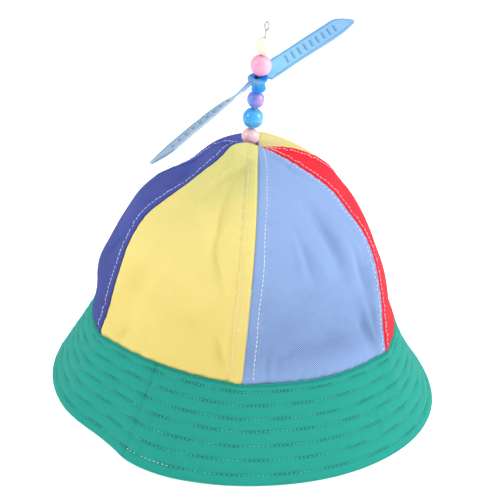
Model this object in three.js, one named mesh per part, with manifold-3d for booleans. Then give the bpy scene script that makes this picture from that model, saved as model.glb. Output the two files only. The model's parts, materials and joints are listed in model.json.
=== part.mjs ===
// Propeller beanie: a cotton bucket hat with a bead mast and a loose propeller.
// Millimetres, +Z up. The origin is on the floor at the middle of the brim, and the front looks along -Y.
// Azimuth is in degrees from the front, positive towards +X.

import * as THREE from 'three';
import { mergeVertices } from 'three/addons/utils/BufferGeometryUtils.js';
import Module from 'manifold-3d';

const wasm = await Module();
wasm.setup();

// Crown and brim
const CROWN_RADIUS = 90;
const CROWN_HEIGHT = 98.5;
const BRIM_HEIGHT = 46;
const BRIM_RADIUS = 114.5;
const CLOTH_THICKNESS = 1.8;
const BRIM_THICKNESS = 2.8;
const TIP_RADIUS = 1.6;
const FOOT_FLATNESS = 0.3;
const FLATNESS_RISE = 0.4;
const FRONT_SEAM_BOW = 3.4;
const BOW_POWER = 5;
const BRIM_SEAM_AZIMUTH = -32;
const BRIM_SEAM_WIDTH = 1.6;
const BRIM_SEAM_DEPTH = 0.7;

// Gaps between pieces that touch on the real hat
const SEAM_GAP = 0.3;
const SEAT_GAP = 0.3;

// Mast: where the wire leaves the cloth, and how it leans
const MAST_AZIMUTH = -135.5;
const MAST_OFFSET = 7.9;
const MAST_LEAN_RIGHT = 4.3;
const MAST_LEAN_FRONT = 4.8;
const WIRE_RADIUS = 0.55;
const HOOK_WIRE_RADIUS = 0.5;
const HOOK_WIDTH = 2.1;
const HOOK_HEIGHT = 5;
const HOOK_SHAFT = 6.2;
const HOOK_SIDESTEP = 0.9;
const HOOK_CURL = 250;
const ANCHOR_RADIUS = 5;
const ANCHOR_THICKNESS = 1.2;

// Beads
const SMALL_BEAD_RADIUS = 4.9;
const LARGE_BEAD_RADIUS = 5.85;
const BEAD_CLEARANCE = 0.3;

// Propeller: its pose at rest, and its sizes
const BLADE_BEARING = 50.6;
const BLADE_CLIMB = 16;
const BLADE_ROLL = -3.1;
const BLADE_LENGTH = 83.2;
const NECK_CHORD = 2;
const ROOT_CHORD = 9.7;
const TIP_CHORD = 11.9;
const BLADE_THICKNESS = 0.8;
const RIM_THICKNESS = 1.2;
const RIM_WIDTH = 0.8;
const RIM_SLOPE = 1.5;
const RIGHT_BLADE = { rootTwist: 46, tipTwist: 13, droop: 2.1 };
const LEFT_BLADE = { rootTwist: 66, tipTwist: 28, droop: 7.5 };
const FLANGE_RADIUS = 5.6;
const FLANGE_THICKNESS = 1.8;
const SOCKET_LENGTH = 6.1;
const SOCKET_WALL = 1.1;
const SOCKET_FLARE = 1;
const BORE_CLEARANCE = 0.3;
const RIB_COUNT = 9;
const RIB_WIDTH = 0.9;
const RIB_HEIGHT = 0.35;
const RIB_LENGTH = 5.3;
const RIB_SLANT = 30;

// Blade outline, as shares of BLADE_LENGTH from the bore: where the neck ends, how far the root's
// twist reaches, where the ribs lie, where the chord is full, and where each edge starts to round
// off, by a share of half the chord
const NECK_SHARE = 0.15;
const TWIST_SHARE = 0.22;
const FIRST_RIB_SHARE = 0.3;
const LAST_RIB_SHARE = 0.82;
const FULL_CHORD_SHARE = 0.6;
const EARLY_ROUND = { from: 0.86, depth: 1.34 };
const LATE_ROUND = { from: 0.7, depth: 0.47 };
const DROOP_POWER = 1.5;

// Facets
const GORE_COLUMNS = 10;
const GORE_ROWS = 16;
const BRIM_COLUMNS = 70;
const BRIM_ROWS = 6;
const BEAD_SIDES = 14;
const BEAD_ROWS = 9;
const BLADE_ROWS = 16;
const CUT_LENGTH = 30;
const FLANGE_SIDES = 20;
const SOCKET_SIDES = 8;
const BORE_SIDES = 16;
const ANCHOR_SIDES = 16;
const WIRE_SIDES = 8;
const HOOK_STEPS = 16;
const HOLE_SIDES = 10;

// Steps between the points that seats are found with
const SEAT_CIRCLE_STEPS = 72;
const SEAT_STEP = 0.5;
const SEAT_TURN = 6;
const WELD_DISTANCE = 1e-4;

// Crown outline at a seam: rise is a share of CROWN_HEIGHT, spread a share of CROWN_RADIUS
const PROFILE = [
  { rise: 0.0, spread: 1.0 },
  { rise: 0.14, spread: 0.966 },
  { rise: 0.29, spread: 0.936 },
  { rise: 0.41, spread: 0.903 },
  { rise: 0.52, spread: 0.866 },
  { rise: 0.61, spread: 0.817 },
  { rise: 0.69, spread: 0.75 },
  { rise: 0.77, spread: 0.643 },
  { rise: 0.85, spread: 0.528 },
  { rise: 0.93, spread: 0.345 },
  { rise: 0.968, spread: 0.23 },
  { rise: 0.99, spread: 0.12 },
  { rise: 1.0, spread: 0.0 },
];

// Dents (negative depth) and bulges of the crown. up is a share of the way from the brim to the tip,
// wide, long and depth are shares of CROWN_RADIUS, and lean turns the long way towards +azimuth.
const CROWN_DENTS = [
  { place: 'back crown fullness', azimuth: 176, up: 0.735, wide: 0.5, long: 0.22, lean: 0, depth: 0.06 },
  { place: 'back right drawn in', azimuth: 126, up: 0.47, wide: 0.36, long: 0.36, lean: 0, depth: -0.08 },
  { place: 'back left drawn in', azimuth: -106, up: 0.57, wide: 0.32, long: 0.22, lean: 0, depth: -0.072 },
  { place: 'left seam foot', azimuth: -72, up: 0.0, wide: 0.38, long: 0.15, lean: 0, depth: 0.04 },
  { place: 'light blue foot', azimuth: 30, up: 0.0, wide: 0.3, long: 0.2, lean: 0, depth: 0.02 },
  { place: 'red foot', azimuth: 95, up: 0.08, wide: 0.25, long: 0.12, lean: 0, depth: -0.032 },
  { place: 'left belly', azimuth: -86, up: 0.155, wide: 0.32, long: 0.14, lean: 0, depth: 0.049 },
  { place: 'left waist', azimuth: -90, up: 0.38, wide: 0.28, long: 0.12, lean: 0, depth: -0.031 },
  { place: 'left slope', azimuth: -95, up: 0.7, wide: 0.3, long: 0.14, lean: 0, depth: -0.087 },
  { place: 'right seam shoulder', azimuth: 60, up: 0.68, wide: 0.2, long: 0.2, lean: 0, depth: 0.017 },
  { place: 'dark blue crease', azimuth: -72, up: 0.3, wide: 0.045, long: 0.2, lean: 40, depth: -0.012 },
  { place: 'crest on the left seam', azimuth: -58, up: 0.925, wide: 0.09, long: 0.12, lean: 0, depth: 0.035 },
  { place: 'bead seat', azimuth: -134, up: 0.945, wide: 0.11, long: 0.11, lean: 0, depth: -0.02 },
  { place: 'yellow pucker', azimuth: -22, up: 0.795, wide: 0.04, long: 0.12, lean: 9, depth: -0.022 },
  { place: 'yellow ridge', azimuth: -31, up: 0.79, wide: 0.05, long: 0.12, lean: 9, depth: 0.014 },
  { place: 'yellow long crease', azimuth: -17, up: 0.465, wide: 0.06, long: 0.29, lean: -17, depth: -0.013 },
  { place: 'yellow low dent', azimuth: -26, up: 0.22, wide: 0.13, long: 0.17, lean: -4, depth: -0.022 },
  { place: 'yellow left crease', azimuth: -49, up: 0.1, wide: 0.06, long: 0.13, lean: 30, depth: -0.013 },
  { place: 'yellow foot crease', azimuth: -8.5, up: 0.09, wide: 0.045, long: 0.09, lean: -17, depth: -0.013 },
  { place: 'light blue slant', azimuth: 41, up: 0.55, wide: 0.07, long: 0.15, lean: 10, depth: -0.022 },
  { place: 'light blue edge dent', azimuth: 54, up: 0.33, wide: 0.06, long: 0.16, lean: 7, depth: -0.016 },
  { place: 'light blue foot crease', azimuth: 49, up: 0.13, wide: 0.05, long: 0.16, lean: -19, depth: -0.03 },
  { place: 'light blue low fold', azimuth: 31, up: 0.15, wide: 0.05, long: 0.11, lean: -50, depth: -0.011 },
  { place: 'light blue top pucker', azimuth: 43, up: 0.815, wide: 0.035, long: 0.07, lean: -24, depth: -0.011 },
  { place: 'back hollow', azimuth: 165, up: 0.35, wide: 0.22, long: 0.3, lean: 12, depth: -0.02 },
  { place: 'back right bulge', azimuth: 140, up: 0.3, wide: 0.2, long: 0.25, lean: -8, depth: 0.015 },
];

// Brim seen from above: reach is the edge as a share of BRIM_RADIUS, and belly bends the slope
// outwards (or inwards, when negative) by a share of its run
const BRIM_EDGE = [
  { azimuth: -180, reach: 1.008, belly: 0 },
  { azimuth: -150, reach: 1.0, belly: 0 },
  { azimuth: -120, reach: 0.993, belly: 0 },
  { azimuth: -90, reach: 0.99, belly: 0 },
  { azimuth: -63, reach: 0.978, belly: 0 },
  { azimuth: -46, reach: 0.953, belly: 0 },
  { azimuth: -38, reach: 0.967, belly: 0 },
  { azimuth: -30, reach: 1.008, belly: 0 },
  { azimuth: -19, reach: 1.024, belly: 0 },
  { azimuth: -8, reach: 1.015, belly: 0 },
  { azimuth: 12, reach: 0.998, belly: 0 },
  { azimuth: 35, reach: 0.995, belly: 0 },
  { azimuth: 62, reach: 0.999, belly: 0 },
  { azimuth: 78, reach: 0.995, belly: -0.04 },
  { azimuth: 100, reach: 0.986, belly: -0.53 },
  { azimuth: 130, reach: 0.995, belly: -0.06 },
  { azimuth: 155, reach: 1.002, belly: 0 },
];

// Gores, from the seam at firstSeam to the next one. Above the foot a gore is flat between
// its seams by its flatness: 0 is round and 1 is flat.
const GORE_ANGLE = 60;
const GORES = [
  { name: 'gore_dark_blue_back', firstSeam: -180, flatness: 0.4, color: 0x4f5ab4 },
  { name: 'gore_dark_blue_left', firstSeam: -120, flatness: 0.1, color: 0x5360bc },
  { name: 'gore_yellow_front', firstSeam: -60, flatness: 0.35, color: 0xf8e48a },
  { name: 'gore_light_blue', firstSeam: 0, flatness: 0.35, color: 0x9bbcec },
  { name: 'gore_red', firstSeam: 60, flatness: 0.9, color: 0xf5354e },
  { name: 'gore_yellow_back', firstSeam: 120, flatness: 0.4, color: 0xf8e48a },
];

const CLOTH_ROUGHNESS = 0.9;
const PLASTIC_ROUGHNESS = 0.3;
const WIRE_FINISH = { color: 0xb9bcc0, roughness: 0.3, metalness: 0.9 };

const radians = THREE.MathUtils.degToRad;

function fabric(color) {
  return new THREE.MeshStandardMaterial({ color, roughness: CLOTH_ROUGHNESS, metalness: 0 });
}

function plastic(color) {
  return new THREE.MeshStandardMaterial({ color, roughness: PLASTIC_ROUGHNESS, metalness: 0 });
}

function polar(azimuth, radius, height) {
  const angle = radians(azimuth);
  return new THREE.Vector3(radius * Math.sin(angle), -radius * Math.cos(angle), height);
}

// Smooth closed curve through a table of azimuths
function around(rows, column, azimuth) {
  const last = rows.length - 1;
  let turned = azimuth;
  while (turned < rows[0].azimuth) turned += 360;
  while (turned >= rows[0].azimuth + 360) turned -= 360;
  let index = last;
  while (rows[index].azimuth > turned) index -= 1;
  const row = (offset) => {
    const place = index + offset;
    const wrapped = THREE.MathUtils.euclideanModulo(place, rows.length);
    const turns = Math.floor(place / rows.length);
    return { at: rows[wrapped].azimuth + 360 * turns, value: rows[wrapped][column] };
  };
  const [before, start, end, after] = [row(-1), row(0), row(1), row(2)];
  const span = end.at - start.at;
  const share = (turned - start.at) / span;
  const startSlope = ((end.value - before.value) / (end.at - before.at)) * span;
  const endSlope = ((after.value - start.value) / (after.at - start.at)) * span;
  const square = share * share;
  const cube = square * share;
  return (2 * cube - 3 * square + 1) * start.value + (cube - 2 * square + share) * startSlope
    + (3 * square - 2 * cube) * end.value + (cube - square) * endSlope;
}

const profileCurve = new THREE.CatmullRomCurve3(
  PROFILE.map(({ rise, spread }) => new THREE.Vector3(spread * CROWN_RADIUS, 0, rise * CROWN_HEIGHT)),
  false,
  'centripetal',
);
const PROFILE_LENGTH = profileCurve.getLength();

function profileAt(up) {
  const share = THREE.MathUtils.clamp(up, 0, 1);
  const point = profileCurve.getPointAt(share);
  const tangent = profileCurve.getTangentAt(share);
  return { radius: point.x, height: point.z, outwards: tangent.z, upwards: -tangent.x, tangent };
}

// A panel is flatter between its two seams than a round crown
function panelShare(azimuth, up) {
  const turned = THREE.MathUtils.euclideanModulo(azimuth - GORES[0].firstSeam, 360);
  const gore = GORES[Math.floor(turned / GORE_ANGLE) % GORES.length];
  const fromMiddle = (turned % GORE_ANGLE) - GORE_ANGLE / 2;
  const flatness = THREE.MathUtils.lerp(
    FOOT_FLATNESS,
    gore.flatness,
    THREE.MathUtils.smoothstep(up, 0, FLATNESS_RISE),
  );
  return 1 - flatness * (1 - Math.cos(radians(GORE_ANGLE / 2)) / Math.cos(radians(fromMiddle)));
}

// The front seam bows towards +X between the brim and the tip, and the cloth beside it follows
function bowed(azimuth, up) {
  const turned = THREE.MathUtils.euclideanModulo(azimuth + 180, 360) - 180;
  const share = THREE.MathUtils.clamp(up, 0, 1);
  const nearness = Math.max(1 - Math.abs(turned) / GORE_ANGLE, 0);
  return azimuth + FRONT_SEAM_BOW * (share - share ** BOW_POWER) * nearness;
}

function smoothCrown(azimuth, up) {
  const { radius, height } = profileAt(up);
  return polar(bowed(azimuth, up), radius * panelShare(azimuth, up), BRIM_HEIGHT + SEAM_GAP / 2 + height);
}

const dents = CROWN_DENTS.map((dent) => {
  const profile = profileAt(dent.up);
  return {
    centre: smoothCrown(dent.azimuth, dent.up),
    sideways: polar(dent.azimuth + 90, 1, 0),
    along: polar(dent.azimuth, profile.tangent.x, profile.tangent.z),
    outwards: polar(dent.azimuth, profile.outwards, profile.upwards),
    wide: dent.wide * CROWN_RADIUS,
    long: dent.long * CROWN_RADIUS,
    lean: radians(dent.lean),
    depth: dent.depth * CROWN_RADIUS,
  };
});

function dentAt(point) {
  let depth = 0;
  for (const dent of dents) {
    const offset = point.clone().sub(dent.centre);
    const across = offset.dot(dent.sideways);
    const along = offset.dot(dent.along);
    const beyond = offset.dot(dent.outwards) / CROWN_RADIUS;
    const short = (across * Math.cos(dent.lean) - along * Math.sin(dent.lean)) / dent.wide;
    const long = (across * Math.sin(dent.lean) + along * Math.cos(dent.lean)) / dent.long;
    depth += dent.depth * Math.exp(-short * short - long * long - beyond * beyond);
  }
  return depth;
}

function crownPoint(azimuth, up) {
  const point = smoothCrown(azimuth, up);
  const { outwards, upwards } = profileAt(up);
  const level = up <= 0 ? 0 : 1;
  return point.addScaledVector(polar(bowed(azimuth, up), outwards, upwards * level), dentAt(point));
}

const NORMAL_TURN = 1.5;
const NORMAL_STEP = 0.012;

function crownNormal(azimuth, up) {
  const sideways = crownPoint(azimuth + NORMAL_TURN, up).sub(crownPoint(azimuth - NORMAL_TURN, up));
  const low = Math.max(up - NORMAL_STEP, 0);
  const high = Math.min(up + NORMAL_STEP, 1 - TIP_RADIUS / PROFILE_LENGTH);
  const along = crownPoint(azimuth, high).sub(crownPoint(azimuth, low));
  const normal = sideways.cross(along).normalize();
  if (up <= 0) normal.setZ(0);
  return normal.normalize();
}

// A closed wall between two grids of points: columns run to the right seen from outside, rows run up
function wallGeometry(outer, inner, columns, rows, ring = false) {
  const stations = ring ? columns : columns + 1;
  const positions = [];
  for (const side of [outer, inner]) {
    for (let row = 0; row <= rows; row += 1) {
      for (let column = 0; column < stations; column += 1) {
        positions.push(...side(column, row).toArray());
      }
    }
  }
  const innerStart = stations * (rows + 1);
  const outside = (column, row) => row * stations + (column % stations);
  const inside = (column, row) => innerStart + outside(column, row);
  const index = [];
  for (let column = 0; column < columns; column += 1) {
    const next = column + 1;
    for (let row = 0; row < rows; row += 1) {
      const up = row + 1;
      index.push(outside(column, row), outside(next, row), outside(next, up));
      index.push(outside(column, row), outside(next, up), outside(column, up));
      index.push(inside(column, row), inside(next, up), inside(next, row));
      index.push(inside(column, row), inside(column, up), inside(next, up));
    }
    index.push(outside(next, 0), outside(column, 0), inside(column, 0));
    index.push(outside(next, 0), inside(column, 0), inside(next, 0));
    index.push(outside(column, rows), outside(next, rows), inside(next, rows));
    index.push(outside(column, rows), inside(next, rows), inside(column, rows));
  }
  if (!ring) {
    for (let row = 0; row < rows; row += 1) {
      const up = row + 1;
      index.push(outside(0, row), outside(0, up), inside(0, up));
      index.push(outside(0, row), inside(0, up), inside(0, row));
      index.push(outside(columns, up), outside(columns, row), inside(columns, row));
      index.push(outside(columns, up), inside(columns, row), inside(columns, up));
    }
  }
  const geometry = new THREE.BufferGeometry();
  geometry.setAttribute('position', new THREE.Float32BufferAttribute(positions, 3));
  geometry.setIndex(index);
  return geometry;
}

function solid(geometry) {
  const bare = geometry.clone();
  bare.deleteAttribute('normal');
  bare.deleteAttribute('uv');
  const merged = mergeVertices(bare, WELD_DISTANCE);
  const vertProperties = new Float32Array(merged.getAttribute('position').array);
  const triVerts = new Uint32Array(merged.getIndex().array);
  return new wasm.Manifold(new wasm.Mesh({ numProp: 3, vertProperties, triVerts }));
}

function geometryOf(manifold) {
  const mesh = manifold.getMesh();
  const geometry = new THREE.BufferGeometry();
  geometry.setAttribute('position', new THREE.BufferAttribute(mesh.vertProperties, 3));
  geometry.setIndex(new THREE.BufferAttribute(mesh.triVerts, 1));
  return geometry;
}

function namedMesh(name, geometry, material) {
  geometry.computeVertexNormals();
  const mesh = new THREE.Mesh(geometry, material);
  mesh.name = name;
  return mesh;
}

// One crown panel, a cloth wall that stops short of its two seams and of the tip
function goreGeometry(firstSeam) {
  const topShare = 1 - TIP_RADIUS / PROFILE_LENGTH;
  const place = (column, row) => {
    const up = (topShare * row) / GORE_ROWS;
    const radius = profileAt(up).radius;
    const margin = THREE.MathUtils.radToDeg(Math.asin(SEAM_GAP / 2 / radius));
    const share = column / GORE_COLUMNS;
    return { up, azimuth: firstSeam + margin + (GORE_ANGLE - 2 * margin) * share };
  };
  const outer = (column, row) => {
    const { azimuth, up } = place(column, row);
    return crownPoint(azimuth, up);
  };
  const inner = (column, row) => {
    const { azimuth, up } = place(column, row);
    return crownPoint(azimuth, up).addScaledVector(crownNormal(azimuth, up), -CLOTH_THICKNESS);
  };
  return wallGeometry(outer, inner, GORE_COLUMNS, GORE_ROWS);
}

// The brim hangs from the crown's foot and stands on its whole lower edge
function brimGeometry() {
  const halfSeam = THREE.MathUtils.radToDeg(BRIM_SEAM_WIDTH / 2 / BRIM_RADIUS);
  const stations = [BRIM_SEAM_AZIMUTH - halfSeam, BRIM_SEAM_AZIMUTH, BRIM_SEAM_AZIMUTH + halfSeam];
  const rest = 360 - 2 * halfSeam;
  for (let column = 1; column < BRIM_COLUMNS; column += 1) {
    stations.push(BRIM_SEAM_AZIMUTH + halfSeam + (rest * column) / BRIM_COLUMNS);
  }
  const top = BRIM_HEIGHT - SEAM_GAP / 2;
  const radiusAt = (azimuth, up) => {
    const foot = crownPoint(azimuth, 0);
    const start = Math.hypot(foot.x, foot.y);
    const edge = BRIM_RADIUS * around(BRIM_EDGE, 'reach', azimuth);
    const down = 1 - up;
    return THREE.MathUtils.lerp(start, edge, down + around(BRIM_EDGE, 'belly', azimuth) * down * up);
  };
  const slant = Math.hypot(BRIM_RADIUS - CROWN_RADIUS, top) / top;
  const outer = (column, row) => {
    const up = row / BRIM_ROWS;
    const groove = column === 1 ? BRIM_SEAM_DEPTH : 0;
    return polar(stations[column], radiusAt(stations[column], up) - groove, top * up);
  };
  const inner = (column, row) => {
    const up = row / BRIM_ROWS;
    return polar(stations[column], radiusAt(stations[column], up) - BRIM_THICKNESS * slant, top * up);
  };
  return wallGeometry(outer, inner, stations.length, BRIM_ROWS, true);
}

function beadGeometry(radius) {
  const bore = WIRE_RADIUS + BEAD_CLEARANCE;
  const first = Math.asin(bore / radius);
  const outline = [];
  for (let row = 0; row <= BEAD_ROWS; row += 1) {
    const angle = Math.PI - first - ((Math.PI - 2 * first) * row) / BEAD_ROWS;
    outline.push(new THREE.Vector2(radius * Math.sin(angle), radius * Math.cos(angle)));
  }
  outline.push(outline[0].clone());
  return new THREE.LatheGeometry(outline, BEAD_SIDES).rotateX(Math.PI / 2);
}

// Lowest place along an axis where a ball of this radius clears every point
function seatAbove(points, axis, radius) {
  const reach = radius + SEAT_GAP;
  let seat = -Infinity;
  for (const point of points) {
    const offset = point.clone().sub(axis.origin);
    const along = offset.dot(axis.direction);
    const besideSquared = offset.lengthSq() - along * along;
    if (besideSquared < reach * reach) {
      seat = Math.max(seat, along + Math.sqrt(reach * reach - besideSquared));
    }
  }
  return seat;
}

function circlePoints(radius, height, steps = SEAT_CIRCLE_STEPS) {
  const points = [];
  for (let step = 0; step < steps; step += 1) {
    const angle = (step / steps) * 2 * Math.PI;
    points.push(new THREE.Vector3(radius * Math.cos(angle), radius * Math.sin(angle), height));
  }
  return points;
}

const mastUp = 1 - MAST_OFFSET / PROFILE_LENGTH;
const mast = {
  origin: crownPoint(MAST_AZIMUTH, mastUp),
  direction: new THREE.Vector3(
    Math.tan(radians(MAST_LEAN_RIGHT)),
    -Math.tan(radians(MAST_LEAN_FRONT)),
    1,
  ).normalize(),
};

// Points of the cloth around the mast, this far below its outer face
function clothAroundMast(depth) {
  const points = [];
  const reach = MAST_OFFSET + Math.max(SMALL_BEAD_RADIUS, ANCHOR_RADIUS) + SEAT_STEP;
  for (let azimuth = 0; azimuth < 360; azimuth += SEAT_TURN) {
    for (let radius = TIP_RADIUS; radius < reach; radius += SEAT_STEP) {
      const up = 1 - radius / PROFILE_LENGTH;
      points.push(crownPoint(azimuth, up).addScaledVector(crownNormal(azimuth, up), -depth));
    }
  }
  return points;
}

// Frame of the propeller: x along the right blade, z along its bore
const bearing = radians(BLADE_BEARING);
const climb = radians(BLADE_CLIMB);
const bladeAxis = new THREE.Vector3(
  Math.cos(climb) * Math.cos(bearing),
  Math.cos(climb) * Math.sin(bearing),
  Math.sin(climb),
);
const boreAxis = new THREE.Vector3(0, 0, 1).projectOnPlane(bladeAxis).normalize();
boreAxis.applyAxisAngle(bladeAxis, -radians(BLADE_ROLL));
const chordAxis = boreAxis.clone().cross(bladeAxis);
const propellerFrame = new THREE.Matrix4().makeBasis(bladeAxis, chordAxis, boreAxis);

const boreLength = FLANGE_THICKNESS + SOCKET_LENGTH;
const boreTilt = boreAxis.angleTo(mast.direction);
const boreRadius = WIRE_RADIUS / Math.cos(boreTilt) + (boreLength / 2) * Math.tan(boreTilt) + BORE_CLEARANCE;
const boreMiddle = FLANGE_THICKNESS / 2 - boreLength / 2;
const socketNeck = boreRadius + SOCKET_WALL;
const socketMouth = socketNeck + SOCKET_FLARE;
const flangeTop = FLANGE_THICKNESS / 2;
const mouthHeight = -FLANGE_THICKNESS / 2 - SOCKET_LENGTH;

// A blade's root lies inside the flange, halfway from the bore to the edge
const BLADE_ROOT_SHARE = (boreRadius + FLANGE_RADIUS) / 2 / BLADE_LENGTH;

function bladeTwist(blade, share) {
  const rootward = Math.exp(-((share / TWIST_SHARE) ** 2));
  return radians(THREE.MathUtils.lerp(blade.tipTwist, blade.rootTwist, rootward));
}

// Blade outline: a neck opens into a chord that grows outwards, one edge rounds off late and short
// and the other over a longer run
function bladeEdges(share) {
  const open = THREE.MathUtils.lerp(ROOT_CHORD, TIP_CHORD, Math.min(share / FULL_CHORD_SHARE, 1));
  const neck = THREE.MathUtils.smoothstep(share, BLADE_ROOT_SHARE, NECK_SHARE);
  const half = THREE.MathUtils.lerp(NECK_CHORD, open, neck) / 2;
  const early = Math.max(share - EARLY_ROUND.from, 0) / (1 - EARLY_ROUND.from);
  const late = Math.max(share - LATE_ROUND.from, 0) / (1 - LATE_ROUND.from);
  const least = BLADE_THICKNESS / 2;
  return {
    back: half * (1 - EARLY_ROUND.depth * early * early) + least * late,
    front: -half * (1 - LATE_ROUND.depth * late * late) - least * late,
  };
}

function bladePoint(blade, share, across, lift) {
  const { back, front } = bladeEdges(share);
  const y = THREE.MathUtils.lerp(front, back, (across + 1) / 2);
  const twist = bladeTwist(blade, share);
  return new THREE.Vector3(
    BLADE_LENGTH * share,
    y * Math.cos(twist) - lift * Math.sin(twist),
    y * Math.sin(twist) + lift * Math.cos(twist) - blade.droop * share ** DROOP_POWER,
  );
}

// One blade with a raised rim and plain slanted ribs on its upper face. Its rows come closer
// together at both ends.
function bladeSolid(blade) {
  const rim = (2 * RIM_WIDTH) / ROOT_CHORD;
  const web = 1 - RIM_SLOPE * rim;
  const stations = [
    { across: 1, thickness: RIM_THICKNESS },
    { across: 1 - rim, thickness: RIM_THICKNESS },
    { across: web, thickness: BLADE_THICKNESS },
    { across: -web, thickness: BLADE_THICKNESS },
    { across: rim - 1, thickness: RIM_THICKNESS },
    { across: -1, thickness: RIM_THICKNESS },
  ];
  const shareAt = (row) => {
    const along = (1 - Math.cos((Math.PI * row) / BLADE_ROWS)) / 2;
    return THREE.MathUtils.lerp(BLADE_ROOT_SHARE, 1, along);
  };
  const face = (side) => (column, row) => {
    const { across, thickness } = stations[column];
    return bladePoint(blade, shareAt(row), across, (side * thickness) / 2);
  };
  let body = solid(wallGeometry(face(1), face(-1), stations.length - 1, BLADE_ROWS));
  for (let rib = 0; rib < RIB_COUNT; rib += 1) {
    const share = THREE.MathUtils.lerp(FIRST_RIB_SHARE, LAST_RIB_SHARE, rib / (RIB_COUNT - 1));
    const ribTop = BLADE_THICKNESS / 2 + RIB_HEIGHT;
    const bar = new THREE.BoxGeometry(RIB_WIDTH, RIB_LENGTH, ribTop);
    bar.translate(0, 0, ribTop / 2);
    bar.rotateZ(radians(-RIB_SLANT));
    bar.rotateX(bladeTwist(blade, share));
    bar.translate(...bladePoint(blade, share, 0, 0).toArray());
    body = body.add(solid(bar));
  }
  return body;
}

function propellerGeometry() {
  const flange = new THREE.CylinderGeometry(FLANGE_RADIUS, FLANGE_RADIUS, FLANGE_THICKNESS, FLANGE_SIDES);
  flange.rotateX(Math.PI / 2);
  const socket = new THREE.CylinderGeometry(socketNeck, socketMouth, SOCKET_LENGTH + flangeTop, SOCKET_SIDES);
  socket.rotateX(Math.PI / 2).translate(0, 0, mouthHeight / 2);
  const bore = new THREE.CylinderGeometry(boreRadius, boreRadius, CUT_LENGTH, BORE_SIDES);
  bore.rotateX(Math.PI / 2);
  const right = bladeSolid(RIGHT_BLADE);
  const left = bladeSolid(LEFT_BLADE).rotate([0, 0, 180]);
  return geometryOf(solid(flange).add(solid(socket)).add(right).add(left).subtract(solid(bore)));
}

// How far below the mast's foot the disc lies clear of the cloth's inner face
function anchorDepth(clothNormal) {
  let depth = 0;
  for (const point of clothAroundMast(CLOTH_THICKNESS)) {
    const offset = point.sub(mast.origin);
    const below = -offset.dot(clothNormal);
    const beside = Math.sqrt(offset.lengthSq() - below * below);
    if (beside < ANCHOR_RADIUS + SEAT_GAP) depth = Math.max(depth, below);
  }
  return depth + SEAT_GAP + ANCHOR_THICKNESS / 2;
}

// Plain wire with an open hook at the top and a flat disc under the cloth
function mastWireGeometry(toLocal, hookBase, clothNormal) {
  const below = anchorDepth(clothNormal);
  const disc = new THREE.CylinderGeometry(ANCHOR_RADIUS, ANCHOR_RADIUS, ANCHOR_THICKNESS, ANCHOR_SIDES);
  disc.applyQuaternion(new THREE.Quaternion().setFromUnitVectors(new THREE.Vector3(0, 1, 0), clothNormal));
  disc.translate(...clothNormal.clone().multiplyScalar(-below).toArray());
  disc.applyMatrix4(toLocal);
  const shaftTop = hookBase + HOOK_SHAFT;
  const shaft = new THREE.CylinderGeometry(WIRE_RADIUS, WIRE_RADIUS, hookBase + below, WIRE_SIDES);
  shaft.rotateX(Math.PI / 2).translate(0, 0, (hookBase - below) / 2);
  const ring = circlePoints(HOOK_WIRE_RADIUS, 0, WIRE_SIDES);
  const section = new THREE.Shape(ring.map(({ x, y }) => new THREE.Vector2(x, y)));
  const route = [new THREE.Vector3(0, 0, hookBase), new THREE.Vector3(0, 0, hookBase + WIRE_RADIUS)];
  for (let step = 0; step <= HOOK_STEPS; step += 1) {
    const angle = Math.PI - (radians(HOOK_CURL) * step) / HOOK_STEPS;
    const x = (HOOK_WIDTH / 2) * (1 + Math.cos(angle)) - HOOK_SIDESTEP;
    route.push(new THREE.Vector3(x, 0, shaftTop + (HOOK_HEIGHT / 2) * Math.sin(angle)));
  }
  const path = new THREE.CatmullRomCurve3(route, false, 'centripetal');
  const settings = { steps: HOOK_STEPS, extrudePath: path, bevelEnabled: false };
  const hook = new THREE.ExtrudeGeometry(section, settings);
  return geometryOf(solid(disc).add(solid(shaft)).add(solid(hook)));
}

const hat = new THREE.Group();

const mastTurn = new THREE.Quaternion().setFromUnitVectors(new THREE.Vector3(0, 0, 1), mast.direction);
const holeCutter = new THREE.CylinderGeometry(
  WIRE_RADIUS + BEAD_CLEARANCE,
  WIRE_RADIUS + BEAD_CLEARANCE,
  CUT_LENGTH,
  HOLE_SIDES,
);
holeCutter.rotateX(Math.PI / 2).applyQuaternion(mastTurn).translate(...mast.origin.toArray());
const holeSolid = solid(holeCutter);

for (const { name, firstSeam, color } of GORES) {
  const whole = solid(goreGeometry(firstSeam));
  hat.add(namedMesh(name, geometryOf(whole.subtract(holeSolid)), fabric(color)));
}
hat.add(namedMesh('brim', brimGeometry(), fabric(0x35a898)));

const stack = new THREE.Group();
stack.position.copy(mast.origin);
stack.quaternion.copy(mastTurn);
hat.add(stack);

function addBead(name, radius, height, color) {
  const bead = namedMesh(name, beadGeometry(radius), plastic(color));
  bead.position.z = height;
  stack.add(bead);
}

const pinkSmallHeight = seatAbove(clothAroundMast(0), mast, SMALL_BEAD_RADIUS);
const skyHeight = pinkSmallHeight + SMALL_BEAD_RADIUS + SEAT_GAP + LARGE_BEAD_RADIUS;
const purpleHeight = skyHeight + LARGE_BEAD_RADIUS + SEAT_GAP + SMALL_BEAD_RADIUS;
addBead('bead_pink_small', SMALL_BEAD_RADIUS, pinkSmallHeight, 0xfdc0cc);
addBead('bead_sky_blue', LARGE_BEAD_RADIUS, skyHeight, 0x58b8f0);
addBead('bead_purple', SMALL_BEAD_RADIUS, purpleHeight, 0x9a94e4);

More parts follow.
